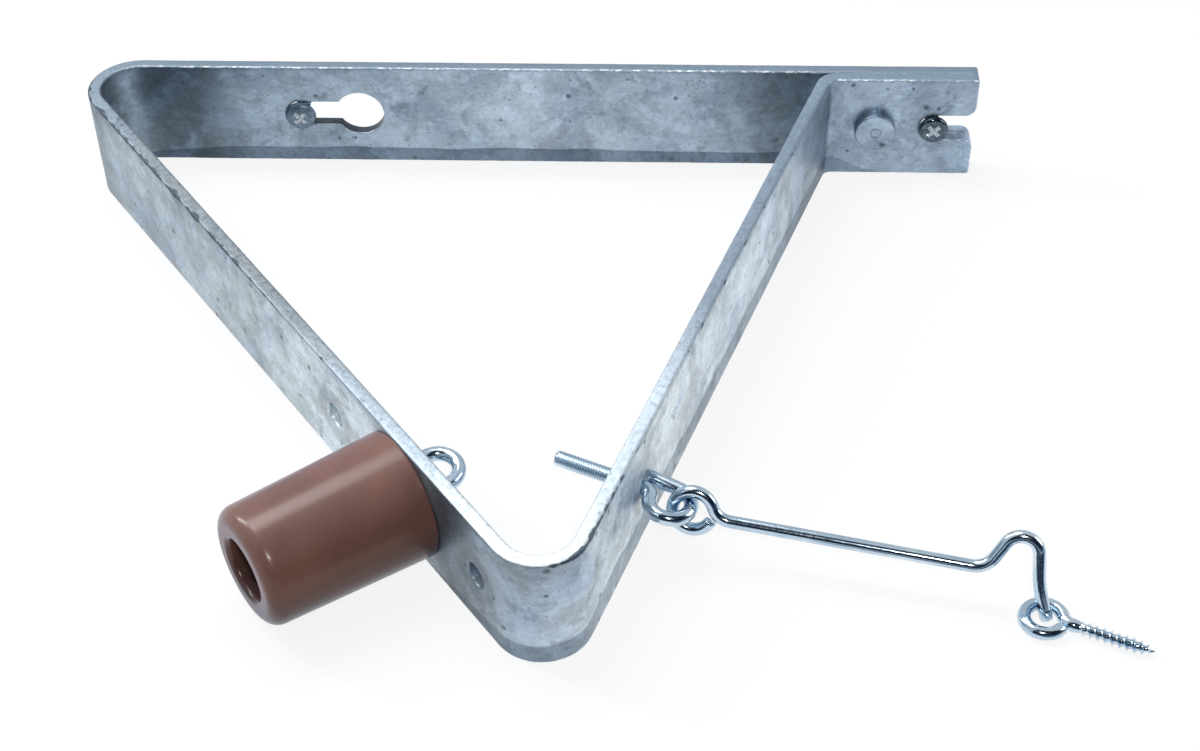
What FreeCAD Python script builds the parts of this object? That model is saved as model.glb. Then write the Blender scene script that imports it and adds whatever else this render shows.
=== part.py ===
import FreeCAD, Part
import math
import os
import re
import Sketcher
from FreeCAD import Placement, Rotation, Vector

# Door stop bracket: one flat bar bent into a triangle that stands out from a wall. Its left arm
# carries a rubber buffer that the door meets, its right arm a hook that holds the door open.
# Millimetres. The origin is the middle of the wall face, halfway between the two wall screws.
# X runs along the wall, +Y goes into the wall and +Z is up.
# SAME_PLACE is how near two positions count as one and LEAST_CUT is the least volume of a real cut.
# LAP_CUT is the depth of a cut through the two layers of the bar at its right end.
# The hook's pitch is sought between plus and minus PITCH_LIMIT degrees by halving PITCH_STEPS times.

SIZES = {
    # flat bar and its bends; radii are those of the inside of each bend
    "strip_width": 40.0,
    "strip_thickness": 4.5,
    "edge_rounding": 0.6,
    "overall_length": 310.0,
    "left_arm_angle": 53.4,
    "right_arm_angle": 70.9,
    "left_bend_radius": 12.0,
    "apex_bend_radius": 10.5,
    "tab_bend_radius": 3.0,
    "tab_length": 51.5,
    "layer_gap": 0.1,
    # fixing to the wall: keyhole on the left, open notch through both layers on the right
    "fixing_spacing": 225.0,
    "notch_end_distance": 14.4,
    "keyhole_slot_width": 9.4,
    "keyhole_diameter": 17.1,
    "keyhole_travel": 21.2,
    "keyhole_rise": 0.6,
    "notch_width": 9.9,
    "notch_corner_radius": 3.8,
    # rivet through the lapped layers
    "rivet_diameter": 10.0,
    "rivet_head_diameter": 14.3,
    "rivet_head_height": 3.6,
    "rivet_head_rounding": 0.7,
    "rivet_end_distance": 35.1,
    "rivet_pip_diameter": 4.0,
    "rivet_pip_depth": 0.3,
    # holes in the arms, measured along each outer face from the sharp corner of the apex
    "arm_hole_diameter": 8.0,
    "front_hole_from_apex": 38.8,
    "buffer_from_apex": 78.0,
    "rear_hole_from_apex": 118.4,
    "hook_bolt_from_apex": 71.8,
    # rubber buffer and the threaded bush moulded into it
    "buffer_base_diameter": 40.0,
    "buffer_front_diameter": 36.6,
    "buffer_length": 52.3,
    "buffer_front_rounding": 4.8,
    "buffer_base_rounding": 0.8,
    "recess_diameter": 19.0,
    "recess_depth": 8.0,
    "recess_rim_rounding": 1.6,
    "recess_floor_rounding": 4.0,
    "bush_diameter": 9.0,
    "bush_length": 25.0,
    "bush_flange_diameter": 16.0,
    "bush_flange_thickness": 2.0,
    # eyes bent from round wire; an offset is that of a ring's centre from the line of its shank,
    # towards the side on which the wire leaves the shank
    "bolt_wire": 4.4,
    "eye_neck_radius": 3.0,
    "eye_gap": 0.25,
    "bolt_ring_radius": 6.2,
    "bolt_ring_offset": 2.4,
    "bolt_diameter": 5.0,
    "bolt_end_chamfer": 0.7,
    "bolt_length": 27.5,
    "bolt_face_clearance": 0.3,
    "bolt_fit_clearance": 0.05,
    "hook_bolt_droop_angle": 6.0,
    "buffer_eye_roll_angle": 174.0,
    "screw_wire": 3.9,
    "screw_ring_radius": 5.6,
    "screw_ring_offset": -2.8,
    "screw_eye_core": 3.4,
    "screw_eye_shank": 24.4,
    "screw_eye_point": 6.0,
    "screw_eye_turn_angle": -28.8,
    "tip_right_of_ring": 0.9,
    "tip_behind_ring": 0.6,
    # hook bent from round wire
    "hook_wire": 3.8,
    "hook_eye_radius": 6.0,
    "hook_neck_radius": 6.0,
    "hook_shank_drop": 1.5,
    "hook_shank_length": 80.8,
    "hook_heel_radius": 6.5,
    "hook_riser_angle": 64.0,
    "hook_riser_length": 6.0,
    "hook_hump_radius": 5.0,
    "hook_leg_angle": 81.0,
    "hook_leg_length": 7.4,
    "hook_flare_radius": 30.0,
    "hook_flare_angle": 12.0,
    "hook_tip_length": 7.3,
    "hook_tip_chamfer": 0.5,
    "hook_pull": 6.9,
    "hook_link_clearance": 1.1,
    "hook_sweep_angle": 7.2,
    "hook_lean_angle": 20.0,
    # wall screws, parked in the keyhole slot and in the notch
    "left_head_diameter": 11.0,
    "left_head_height": 2.6,
    "left_head_rounding": 1.0,
    "right_head_diameter": 10.3,
    "right_head_height": 2.4,
    "right_head_rounding": 1.1,
    "screw_diameter": 5.0,
    "screw_length": 25.0,
    "screw_point": 7.0,
    "recess_span": 4.8,
    "recess_wing": 1.1,
    "recess_sink": 1.7,
    "recess_turn_angle": 45.0,
    # how far a cutter goes past the far side of what it cuts
    "cutter_overlap": 1.0,
}
SAME_PLACE = 0.01
LEAST_CUT = 0.5
PITCH_LIMIT = 30.0
PITCH_STEPS = 50
LAP_CUT = "2 * strip_thickness + layer_gap + cutter_overlap"

doc = FreeCAD.newDocument("DoorStopBracket")
sheet = doc.addObject("Spreadsheet::Sheet", "Sizes")
for row, (alias, value) in enumerate(SIZES.items(), start=1):
    sheet.set(f"A{row}", alias)
    sheet.set(f"B{row}", str(value))
    sheet.setAlias(f"B{row}", alias)
doc.recompute()


def size(alias):
    """A driving dimension, read back from the sheet."""
    return float(sheet.get(alias))


def cells(formula):
    """Turn plain aliases in a formula into references to the sheet."""
    def refer(match):
        word = match.group(0)
        return "Sizes." + word if word in SIZES else word

    return re.sub("[a-z_]+", refer, formula)


def new_body(name):
    body = doc.addObject("PartDesign::Body", name)
    body.Label = name
    return body


def new_sketch(body, name, role, offset=Placement()):
    """A sketch on one of the body's own origin planes, moved by an offset in that plane's frame."""
    sketch = body.newObject("Sketcher::SketchObject", name)
    plane = next(item for item in body.Origin.OriginFeatures if item.Role == role)
    sketch.AttachmentSupport = [(plane, "")]
    sketch.MapMode = "FlatFace"
    sketch.AttachmentOffset = offset
    return sketch


def dimension(sketch, name, formula, kind, *arguments):
    """A named constraint whose value follows the sheet; its first value keeps the drawn shape."""
    index = sketch.addConstraint(Sketcher.Constraint(kind, *arguments))
    sketch.renameConstraint(index, name)
    sketch.setExpression(f"Constraints.{name}", cells(formula))


def relate(sketch, kind, *arguments):
    sketch.addConstraint(Sketcher.Constraint(kind, *arguments))


def line(start, end):
    return Part.LineSegment(Vector(*start, 0), Vector(*end, 0))


def arc(centre, radius, start, end):
    """Anticlockwise arc between two angles in degrees."""
    circle = Part.Circle(Vector(*centre, 0), Vector(0, 0, 1), radius)
    return Part.ArcOfCircle(circle, math.radians(start), math.radians(end))


def circle_sketch(body, name, role, diameter, offset=Placement()):
    """A sketch holding one circle round its own origin."""
    sketch = new_sketch(body, name, role, offset)
    sketch.addGeometry(Part.Circle(Vector(), Vector(0, 0, 1), size(diameter) / 2))
    relate(sketch, "Coincident", 0, 3, -1, 1)
    dimension(sketch, "across", diameter, "Diameter", 0, size(diameter))
    return sketch


def pad(body, name, sketch, length, symmetric=False, backwards=False):
    feature = body.newObject("PartDesign::Pad", name)
    feature.Profile = sketch
    feature.setExpression("Length", cells(length))
    feature.SideType = "Symmetric" if symmetric else "One side"
    feature.Reversed = backwards
    return feature


def pocket(body, name, sketch, depth, backwards=False):
    """Cut a sketch to a depth and make sure that it took material away."""
    doc.recompute()
    before = body.Shape.Volume
    feature = body.newObject("PartDesign::Pocket", name)
    feature.Profile = sketch
    feature.Type = "Length"
    feature.setExpression("Length", cells(depth))
    feature.Reversed = backwards
    doc.recompute()
    if body.Shape.Volume > before - LEAST_CUT:
        raise RuntimeError(f"{name} cuts nothing")
    return feature


def edges_where(feature, test):
    """Names of the edges of a feature whose shape passes a test."""
    return [f"Edge{number}" for number, edge in enumerate(feature.Shape.Edges, 1) if test(edge)]


def dress(body, name, kind, base, test, formula):
    """A fillet or chamfer on those edges of the last feature that pass a test."""
    doc.recompute()
    feature = body.newObject(f"PartDesign::{kind}", name)
    feature.Base = (base, edges_where(base, test))
    feature.setExpression("Radius" if kind == "Fillet" else "Size", cells(formula))
    return feature


def rim(position, radius):
    """A test for a circular edge of a given radius at a position along the body's own X."""
    def test(edge):
        curve = edge.Curve
        if not isinstance(curve, Part.Circle) or abs(curve.Radius - radius) > SAME_PLACE:
            return False
        return abs(curve.Center.x - position) < SAME_PLACE

    return test


def revolve(body, name, sketch):
    feature = body.newObject("PartDesign::Revolution", name)
    feature.Profile = sketch
    feature.ReferenceAxis = (sketch, ["H_Axis"])
    feature.Angle = 360.0
    return feature


def sweep(body, name, profile, path):
    """A wire whose round section follows every edge of its path."""
    feature = body.newObject("PartDesign::AdditivePipe", name)
    feature.Profile = profile
    feature.Spine = (path, [f"Edge{number}" for number in range(1, path.GeometryCount + 1)])
    return feature


# Plan of the bent bar, looking down. Directions run from the apex to the wall; normals point into
# the triangle.
width = size("strip_width")
thick = size("strip_thickness")
left_angle = math.radians(size("left_arm_angle"))
right_angle = math.radians(size("right_arm_angle"))
right_end = size("fixing_spacing") / 2 + size("notch_end_distance")
lap = 2 * thick + size("layer_gap")
left_inside = size("left_bend_radius")
apex_inside = size("apex_bend_radius")
tab_inside = size("tab_bend_radius")
left_along = Vector(-math.cos(left_angle), math.sin(left_angle), 0)
left_normal = Vector(math.sin(left_angle), math.cos(left_angle), 0)
right_along = Vector(math.cos(right_angle), math.sin(right_angle), 0)
right_normal = Vector(-math.sin(right_angle), math.cos(right_angle), 0)


def meeting_point(normal_one, level_one, normal_two, level_two):
    """The point whose distances along two plan directions are given."""
    cross = normal_one.x * normal_two.y - normal_one.y * normal_two.x
    across = (level_one * normal_two.y - level_two * normal_one.y) / cross
    along = (level_two * normal_one.x - level_one * normal_two.x) / cross
    return Vector(across, along, 0)


left_centre = Vector(
    right_end - size("overall_length") + left_inside + thick, -left_inside - thick, 0)
left_level = left_normal.dot(left_centre) - left_inside - thick
tab_corner = Vector(right_end - size("tab_length"), -lap, 0)
right_level = right_normal.dot(tab_corner)
apex_corner = meeting_point(left_normal, left_level, right_normal, right_level)
apex_centre = meeting_point(
    left_normal, left_level + apex_inside + thick,
    right_normal, right_level + apex_inside + thick)
tab_centre = tab_corner + Vector(tab_inside * math.tan(right_angle / 2), -tab_inside, 0)


def add_strip_profile(body):
    """The bar's edge outline: wall side first, round the outside, then back along the inside."""
    sketch = new_sketch(body, "strip_profile", "XY_Plane")

    def at(centre, normal, distance):
        point = centre + normal * distance
        return (point.x, point.y)

    left_out, apex_out, tab_out = left_inside + thick, apex_inside + thick, tab_inside + thick
    up = Vector(0, 1, 0)
    left_turn = 270 - math.degrees(left_angle)
    right_turn = 270 + math.degrees(right_angle)
    tab_turn = 90 + math.degrees(right_angle)
    left_xy = (left_centre.x, left_centre.y)
    apex_xy = (apex_centre.x, apex_centre.y)
    tab_xy = (tab_centre.x, tab_centre.y)
    outline = [
        line((right_end, 0), at(left_centre, up, left_out)),
        arc(left_xy, left_out, 90, left_turn),
        line(at(left_centre, left_normal, -left_out), at(apex_centre, left_normal, -apex_out)),
        arc(apex_xy, apex_out, left_turn, right_turn),
        line(at(apex_centre, right_normal, -apex_out), at(tab_centre, right_normal, tab_inside)),
        arc(tab_xy, tab_inside, 90, tab_turn),
        line(at(tab_centre, up, tab_inside), (right_end, -lap)),
        line((right_end, -lap), (right_end, thick - lap)),
        line((right_end, thick - lap), at(tab_centre, up, tab_out)),
        arc(tab_xy, tab_out, 90, tab_turn),
        line(at(tab_centre, right_normal, tab_out), at(apex_centre, right_normal, -apex_inside)),
        arc(apex_xy, apex_inside, left_turn, right_turn),
        line(at(apex_centre, left_normal, -apex_inside), at(left_centre, left_normal, -left_inside)),
        arc(left_xy, left_inside, 90, left_turn),
        line(at(left_centre, up, left_inside), (right_end, -thick)),
        line((right_end, -thick), (right_end, 0)),
    ]
    sketch.addGeometry(outline)
    smooth_joints = [
        (0, 2, 1, 1), (1, 2, 2, 1), (2, 2, 3, 1), (3, 2, 4, 1), (4, 2, 5, 2), (5, 1, 6, 1),
        (8, 2, 9, 1), (9, 2, 10, 1), (10, 2, 11, 2), (11, 1, 12, 1), (12, 2, 13, 2), (13, 1, 14, 1),
    ]
    for joint in smooth_joints:
        relate(sketch, "Tangent", *joint)
    for corner in [(6, 2, 7, 1), (7, 2, 8, 1), (14, 2, 15, 1), (15, 2, 0, 1)]:
        relate(sketch, "Coincident", *corner)
    for outer, inner in [(1, 13), (3, 11), (5, 9)]:
        relate(sketch, "Coincident", outer, 3, inner, 3)
    for flat in (0, 6, 8, 14):
        relate(sketch, "Horizontal", flat)
    for end in (7, 15):
        relate(sketch, "Vertical", end)
    relate(sketch, "PointOnObject", 0, 1, -1)
    relate(sketch, "Vertical", 6, 2, 0, 1)
    bends = [(1, 13, "left_bend_radius"), (3, 11, "apex_bend_radius"), (9, 5, "tab_bend_radius")]
    for outer, inner, radius in bends:
        inside = size(radius)
        dimension(sketch, f"{radius}_out", f"{radius} + strip_thickness", "Radius", outer, inside + thick)
        dimension(sketch, radius, radius, "Radius", inner, inside)
    dimension(sketch, "right_end", "fixing_spacing / 2 + notch_end_distance",
              "DistanceX", -1, 1, 0, 1, right_end)
    dimension(sketch, "lap", "2 * strip_thickness + layer_gap", "DistanceY", 6, 2, -1, 1, lap)
    dimension(sketch, "left_arm", "-1 deg * left_arm_angle", "Angle", 2, -left_angle)
    dimension(sketch, "right_arm", "1 deg * right_arm_angle", "Angle", 4, right_angle)
    dimension(sketch, "left_bend", "overall_length - left_bend_radius - strip_thickness",
              "DistanceX", 1, 3, 0, 1, right_end - left_centre.x)
    dimension(sketch, "tab_bend", "tab_length - tab_bend_radius * tan(right_arm_angle * 0.5 deg)",
              "DistanceX", 5, 3, 6, 2, right_end - tab_centre.x)
    return sketch


def arm_frame(along, distance, flip):
    """Offset of a sketch plane laid on an arm's outer face, at a distance from the apex corner.

    Its X runs along the arm towards the wall, or towards the apex where flip is set, so that its
    normal always points out of the triangle.
    """
    run = along * (-1 if flip else 1)
    point = apex_corner + along * distance
    turn = Rotation(Vector(run.x, 0, -run.y), Vector(0, 1, 0), Vector(), "XYZ")
    return Placement(Vector(point.x, 0, -point.y), turn)


def add_keyhole(body):
    """Large hole for the screw head, with a slot to its left where the shank seats."""
    sketch = new_sketch(body, "keyhole_outline", "XZ_Plane")
    seat = -size("fixing_spacing") / 2
    half_slot = size("keyhole_slot_width") / 2
    radius = size("keyhole_diameter") / 2
    centre = seat + size("keyhole_travel")
    rise = size("keyhole_rise")
    reach = math.sqrt(radius ** 2 - half_slot ** 2)
    opening = math.degrees(math.asin(half_slot / radius))
    sketch.addGeometry([
        arc((seat, rise), half_slot, 90, 270),
        line((seat, rise - half_slot), (centre - reach, rise - half_slot)),
        arc((centre, rise), radius, 180 + opening, 540 - opening),
        line((centre - reach, rise + half_slot), (seat, rise + half_slot)),
    ])
    relate(sketch, "Tangent", 0, 2, 1, 1)
    relate(sketch, "Tangent", 3, 2, 0, 1)
    relate(sketch, "Coincident", 1, 2, 2, 1)
    relate(sketch, "Coincident", 2, 2, 3, 1)
    relate(sketch, "Horizontal", 1)
    relate(sketch, "Horizontal", 3)
    relate(sketch, "Horizontal", 0, 3, 2, 3)
    dimension(sketch, "rise", "keyhole_rise", "DistanceY", -1, 1, 0, 3, rise)
    dimension(sketch, "slot", "keyhole_slot_width / 2", "Radius", 0, half_slot)
    dimension(sketch, "hole", "keyhole_diameter / 2", "Radius", 2, radius)
    dimension(sketch, "seat", "fixing_spacing / 2", "DistanceX", 0, 3, -1, 1, -seat)
    dimension(sketch, "travel", "keyhole_travel", "DistanceX", 0, 3, 2, 3, centre - seat)
    return pocket(body, "keyhole", sketch, "strip_thickness + cutter_overlap", backwards=True)


def add_notch(body):
    """Slot through both layers, open at the right end."""
    sketch = new_sketch(body, "notch_outline", "XZ_Plane")
    seat = size("fixing_spacing") / 2
    half_slot = size("notch_width") / 2
    mouth = right_end + half_slot
    sketch.addGeometry([
        arc((seat, 0), half_slot, 90, 270),
        line((seat, -half_slot), (mouth, -half_slot)),
        line((mouth, -half_slot), (mouth, half_slot)),
        line((mouth, half_slot), (seat, half_slot)),
    ])
    relate(sketch, "Tangent", 0, 2, 1, 1)
    relate(sketch, "Tangent", 3, 2, 0, 1)
    relate(sketch, "Coincident", 1, 2, 2, 1)
    relate(sketch, "Coincident", 2, 2, 3, 1)
    relate(sketch, "Horizontal", 1)
    relate(sketch, "Horizontal", 3)
    relate(sketch, "Vertical", 2)
    relate(sketch, "PointOnObject", 0, 3, -1)
    dimension(sketch, "slot", "notch_width / 2", "Radius", 0, half_slot)
    dimension(sketch, "seat", "fixing_spacing / 2", "DistanceX", -1, 1, 0, 3, seat)
    dimension(sketch, "mouth", "notch_end_distance + notch_width / 2",
              "DistanceX", 0, 3, 1, 2, mouth - seat)
    return pocket(body, "notch", sketch, LAP_CUT, backwards=True)


def make_strip():
    """The bent bar with its fixing holes, arm holes and rivet hole."""
    body = new_body("bracket_strip")
    bar = pad(body, "bar", add_strip_profile(body), "strip_width", symmetric=True)

    def long_edge(edge):
        return abs(abs(edge.CenterOfMass.z) - width / 2) < SAME_PLACE

    dress(body, "rounded_edges", "Fillet", bar, long_edge, "edge_rounding")
    add_keyhole(body)
    notch = add_notch(body)
    half_notch = size("notch_width") / 2

    def mouth_corner(edge):
        middle = edge.CenterOfMass
        at_end = abs(middle.x - right_end) < SAME_PLACE
        return at_end and abs(abs(middle.z) - half_notch) < SAME_PLACE

    dress(body, "mouth_corners", "Fillet", notch, mouth_corner, "notch_corner_radius")
    rivet_seat = Placement(Vector(right_end - size("rivet_end_distance"), 0, 0), Rotation())
    hole = circle_sketch(body, "rivet_hole_outline", "XZ_Plane", "rivet_diameter", rivet_seat)
    pocket(body, "rivet_hole", hole, LAP_CUT, backwards=True)
    holes = {
        "front_spare_hole": (left_along, size("front_hole_from_apex"), True),
        "buffer_bolt_hole": (left_along, size("buffer_from_apex"), True),
        "rear_spare_hole": (left_along, size("rear_hole_from_apex"), True),
        "hook_bolt_hole": (right_along, size("hook_bolt_from_apex"), False),
    }
    for name, (along, distance, flip) in holes.items():
        outline = circle_sketch(body, f"{name}_outline", "XZ_Plane", "arm_hole_diameter",
                                arm_frame(along, distance, flip))
        pocket(body, name, outline, "strip_thickness + cutter_overlap")
    return body


def make_rivet():
    """Rivet flush with the wall face, its head standing on the tab. Local X points to the room."""
    body = new_body("lap_rivet")
    shank = circle_sketch(body, "shank_outline", "YZ_Plane", "rivet_diameter")
    pad(body, "shank", shank, "2 * strip_thickness + layer_gap + rivet_head_height / 2")
    seat = Placement(Vector(0, 0, lap), Rotation())
    outline = circle_sketch(body, "head_outline", "YZ_Plane", "rivet_head_diameter", seat)
    head = pad(body, "head", outline, "rivet_head_height")
    top = lap + size("rivet_head_height")
    front_rim = rim(top, size("rivet_head_diameter") / 2)
    dress(body, "head_rounding", "Fillet", head, front_rim, "rivet_head_rounding")
    mark = Placement(Vector(0, 0, top), Rotation())
    pip = circle_sketch(body, "pip_outline", "YZ_Plane", "rivet_pip_diameter", mark)
    pocket(body, "centre_pip", pip, "rivet_pip_depth")
    body.Placement = Placement(
        Vector(right_end - size("rivet_end_distance"), 0, 0), Rotation(Vector(0, 0, 1), -90))
    return body


def shape_bush(body, kind):
    """The moulded-in bush as two coaxial cylinders, added to its own body or cut from the rubber."""
    flange_start = size("bush_length") - size("bush_flange_thickness")
    barrel = circle_sketch(body, "bush_outline", "YZ_Plane", "bush_diameter")
    flange = circle_sketch(body, "bush_flange_outline", "YZ_Plane", "bush_flange_diameter",
                           Placement(Vector(0, 0, flange_start), Rotation()))
    if kind == "add":
        pad(body, "barrel", barrel, "bush_length")
        pad(body, "flange", flange, "bush_flange_thickness")
    else:
        pocket(body, "bush_seat", barrel, "bush_length", backwards=True)
        pocket(body, "bush_flange_seat", flange, "bush_flange_thickness", backwards=True)


def on_left_arm(roll=0.0):
    """Frame on the left arm's outer face at the buffer, with X pointing away from the triangle."""
    point = apex_corner + left_along * size("buffer_from_apex")
    out = left_normal * -1
    frame = Rotation(out, Vector(0, 0, 1).cross(out), Vector(0, 0, 1), "XYZ")
    return Placement(point, frame * Rotation(Vector(1, 0, 0), roll))


def make_buffer():
    """Tapered rubber buffer with a rounded nose and a round recess in it."""
    body = new_body("rubber_buffer")
    profile = new_sketch(body, "taper_profile", "XY_Plane")
    base, front = size("buffer_base_diameter") / 2, size("buffer_front_diameter") / 2
    length = size("buffer_length")
    profile.addGeometry([
        line((0, 0), (0, base)),
        line((0, base), (length, front)),
        line((length, front), (length, 0)),
        line((length, 0), (0, 0)),
    ])
    for first, second in [(0, 1), (1, 2), (2, 3), (3, 0)]:
        relate(profile, "Coincident", first, 2, second, 1)
    relate(profile, "Coincident", 0, 1, -1, 1)
    relate(profile, "Vertical", 0)
    relate(profile, "Vertical", 2)
    relate(profile, "Horizontal", 3)
    dimension(profile, "base", "buffer_base_diameter / 2", "DistanceY", 0, 1, 0, 2, base)
    dimension(profile, "front", "buffer_front_diameter / 2", "DistanceY", 2, 2, 2, 1, front)
    dimension(profile, "length", "buffer_length", "DistanceX", 3, 2, 3, 1, length)
    taper = revolve(body, "taper", profile)
    nose = dress(body, "nose_rounding", "Fillet", taper, rim(length, front),
                 "buffer_front_rounding")
    dress(body, "base_rounding", "Fillet", nose, rim(0, base), "buffer_base_rounding")
    mouth = Placement(Vector(0, 0, length), Rotation())
    recess_outline = circle_sketch(body, "recess_outline", "YZ_Plane", "recess_diameter", mouth)
    recess = pocket(body, "recess", recess_outline, "recess_depth")
    recess_radius = size("recess_diameter") / 2
    floor_edge = rim(length - size("recess_depth"), recess_radius)
    floor = dress(body, "recess_floor", "Fillet", recess, floor_edge, "recess_floor_rounding")
    dress(body, "recess_rim", "Fillet", floor, rim(length, recess_radius), "recess_rim_rounding")
    shape_bush(body, "cut")
    body.Placement = on_left_arm()
    return body


def make_bush():
    """Threaded bush moulded into the rubber; its flange stops it from pulling out."""
    body = new_body("buffer_bush")
    shape_bush(body, "add")
    bore = circle_sketch(body, "bore_outline", "YZ_Plane", "bolt_diameter")
    pocket(body, "bore", bore, "bush_length + cutter_overlap", backwards=True)
    body.Placement = on_left_arm()
    return body


def neck_reach(kind):
    """Distance along the shank from a ring's centre to where its wire becomes straight."""
    ring, neck = size(f"{kind}_ring_radius"), size("eye_neck_radius")
    return math.sqrt((ring + neck) ** 2 - (neck - size(f"{kind}_ring_offset")) ** 2)


def add_eye(body, kind):
    """Closed wire ring round the body's origin with a neck that leads to a shank along +X."""
    ring, offset = size(f"{kind}_ring_radius"), size(f"{kind}_ring_offset")
    neck, reach = size("eye_neck_radius"), neck_reach(kind)
    tangent_angle = math.degrees(math.atan2(neck - offset, reach))
    end_distance = neck + size(f"{kind}_wire") + size("eye_gap")
    between = ring + neck
    cosine = (between ** 2 + ring ** 2 - end_distance ** 2) / (2 * between * ring)
    end_angle = 360 + tangent_angle - math.degrees(math.acos(cosine))
    path = new_sketch(body, "eye_path", "XY_Plane")
    path.addGeometry([
        arc((reach, neck - offset), neck, 180 + tangent_angle, 270),
        arc((0, 0), ring, tangent_angle, end_angle),
    ])
    relate(path, "Coincident", 1, 3, -1, 1)
    relate(path, "Tangent", 0, 1, 1, 1)
    relate(path, "Vertical", 0, 3, 0, 2)
    dimension(path, "offset", f"{kind}_ring_offset", "DistanceY", 0, 2, -1, 1, offset)
    dimension(path, "ring", f"{kind}_ring_radius", "Radius", 1, ring)
    dimension(path, "neck", "eye_neck_radius", "Radius", 0, neck)
    dimension(path, "end", f"eye_neck_radius + {kind}_wire + eye_gap",
              "Distance", 1, 2, 0, 3, end_distance)
    start = Placement(Vector(-offset, 0, reach), Rotation())
    section = circle_sketch(body, "eye_section", "YZ_Plane", f"{kind}_wire", start)
    return sweep(body, "eye", section, path)


def make_eye_bolt(name, placement):
    """Eye bolt whose thread is drawn as a plain cylinder of its outer size."""
    body = new_body(name)
    add_eye(body, "bolt")
    reach = neck_reach("bolt")
    start = Placement(Vector(-size("bolt_ring_offset"), 0, reach), Rotation())
    outline = circle_sketch(body, "shank_outline", "YZ_Plane", "bolt_diameter", start)
    shank = pad(body, "shank", outline, "bolt_length")
    end = rim(reach + size("bolt_length"), size("bolt_diameter") / 2)
    dress(body, "shank_end", "Chamfer", shank, end, "bolt_end_chamfer")
    body.Placement = placement
    return body


def eye_stand_off():
    """Distance from an arm's face to the centre of an eye that is pushed up against it."""
    return size("bolt_ring_radius") + size("bolt_wire") / 2 + size("bolt_face_clearance")


def buffer_eye_placement():
    """The buffer's eye stands inside the triangle, its shank going out into the rubber."""
    face = on_left_arm(size("buffer_eye_roll_angle"))
    centre = Vector(-thick - eye_stand_off(), size("bolt_ring_offset"), 0)
    return face * Placement(centre, Rotation())


def hook_eye_placement():
    """The hook's eye bolt hangs in its wide hole, its eye sunk a little outside the triangle.

    The shank lies on the lower outer edge of the hole. Its X points into the triangle.
    """
    droop = math.radians(size("hook_bolt_droop_angle"))
    inward = right_normal
    shank_way = inward * math.cos(droop) + Vector(0, 0, math.sin(droop))
    slack = (size("arm_hole_diameter") - size("bolt_diameter") / math.cos(droop)) / 2
    hole = apex_corner + right_along * size("hook_bolt_from_apex")
    through = hole + Vector(0, 0, size("bolt_fit_clearance") - slack)
    front = right_along * -1
    centre = through - shank_way * eye_stand_off() + front * size("bolt_ring_offset")
    return Placement(centre, Rotation(shank_way, front, shank_way.cross(front), "XYZ"))


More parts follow.
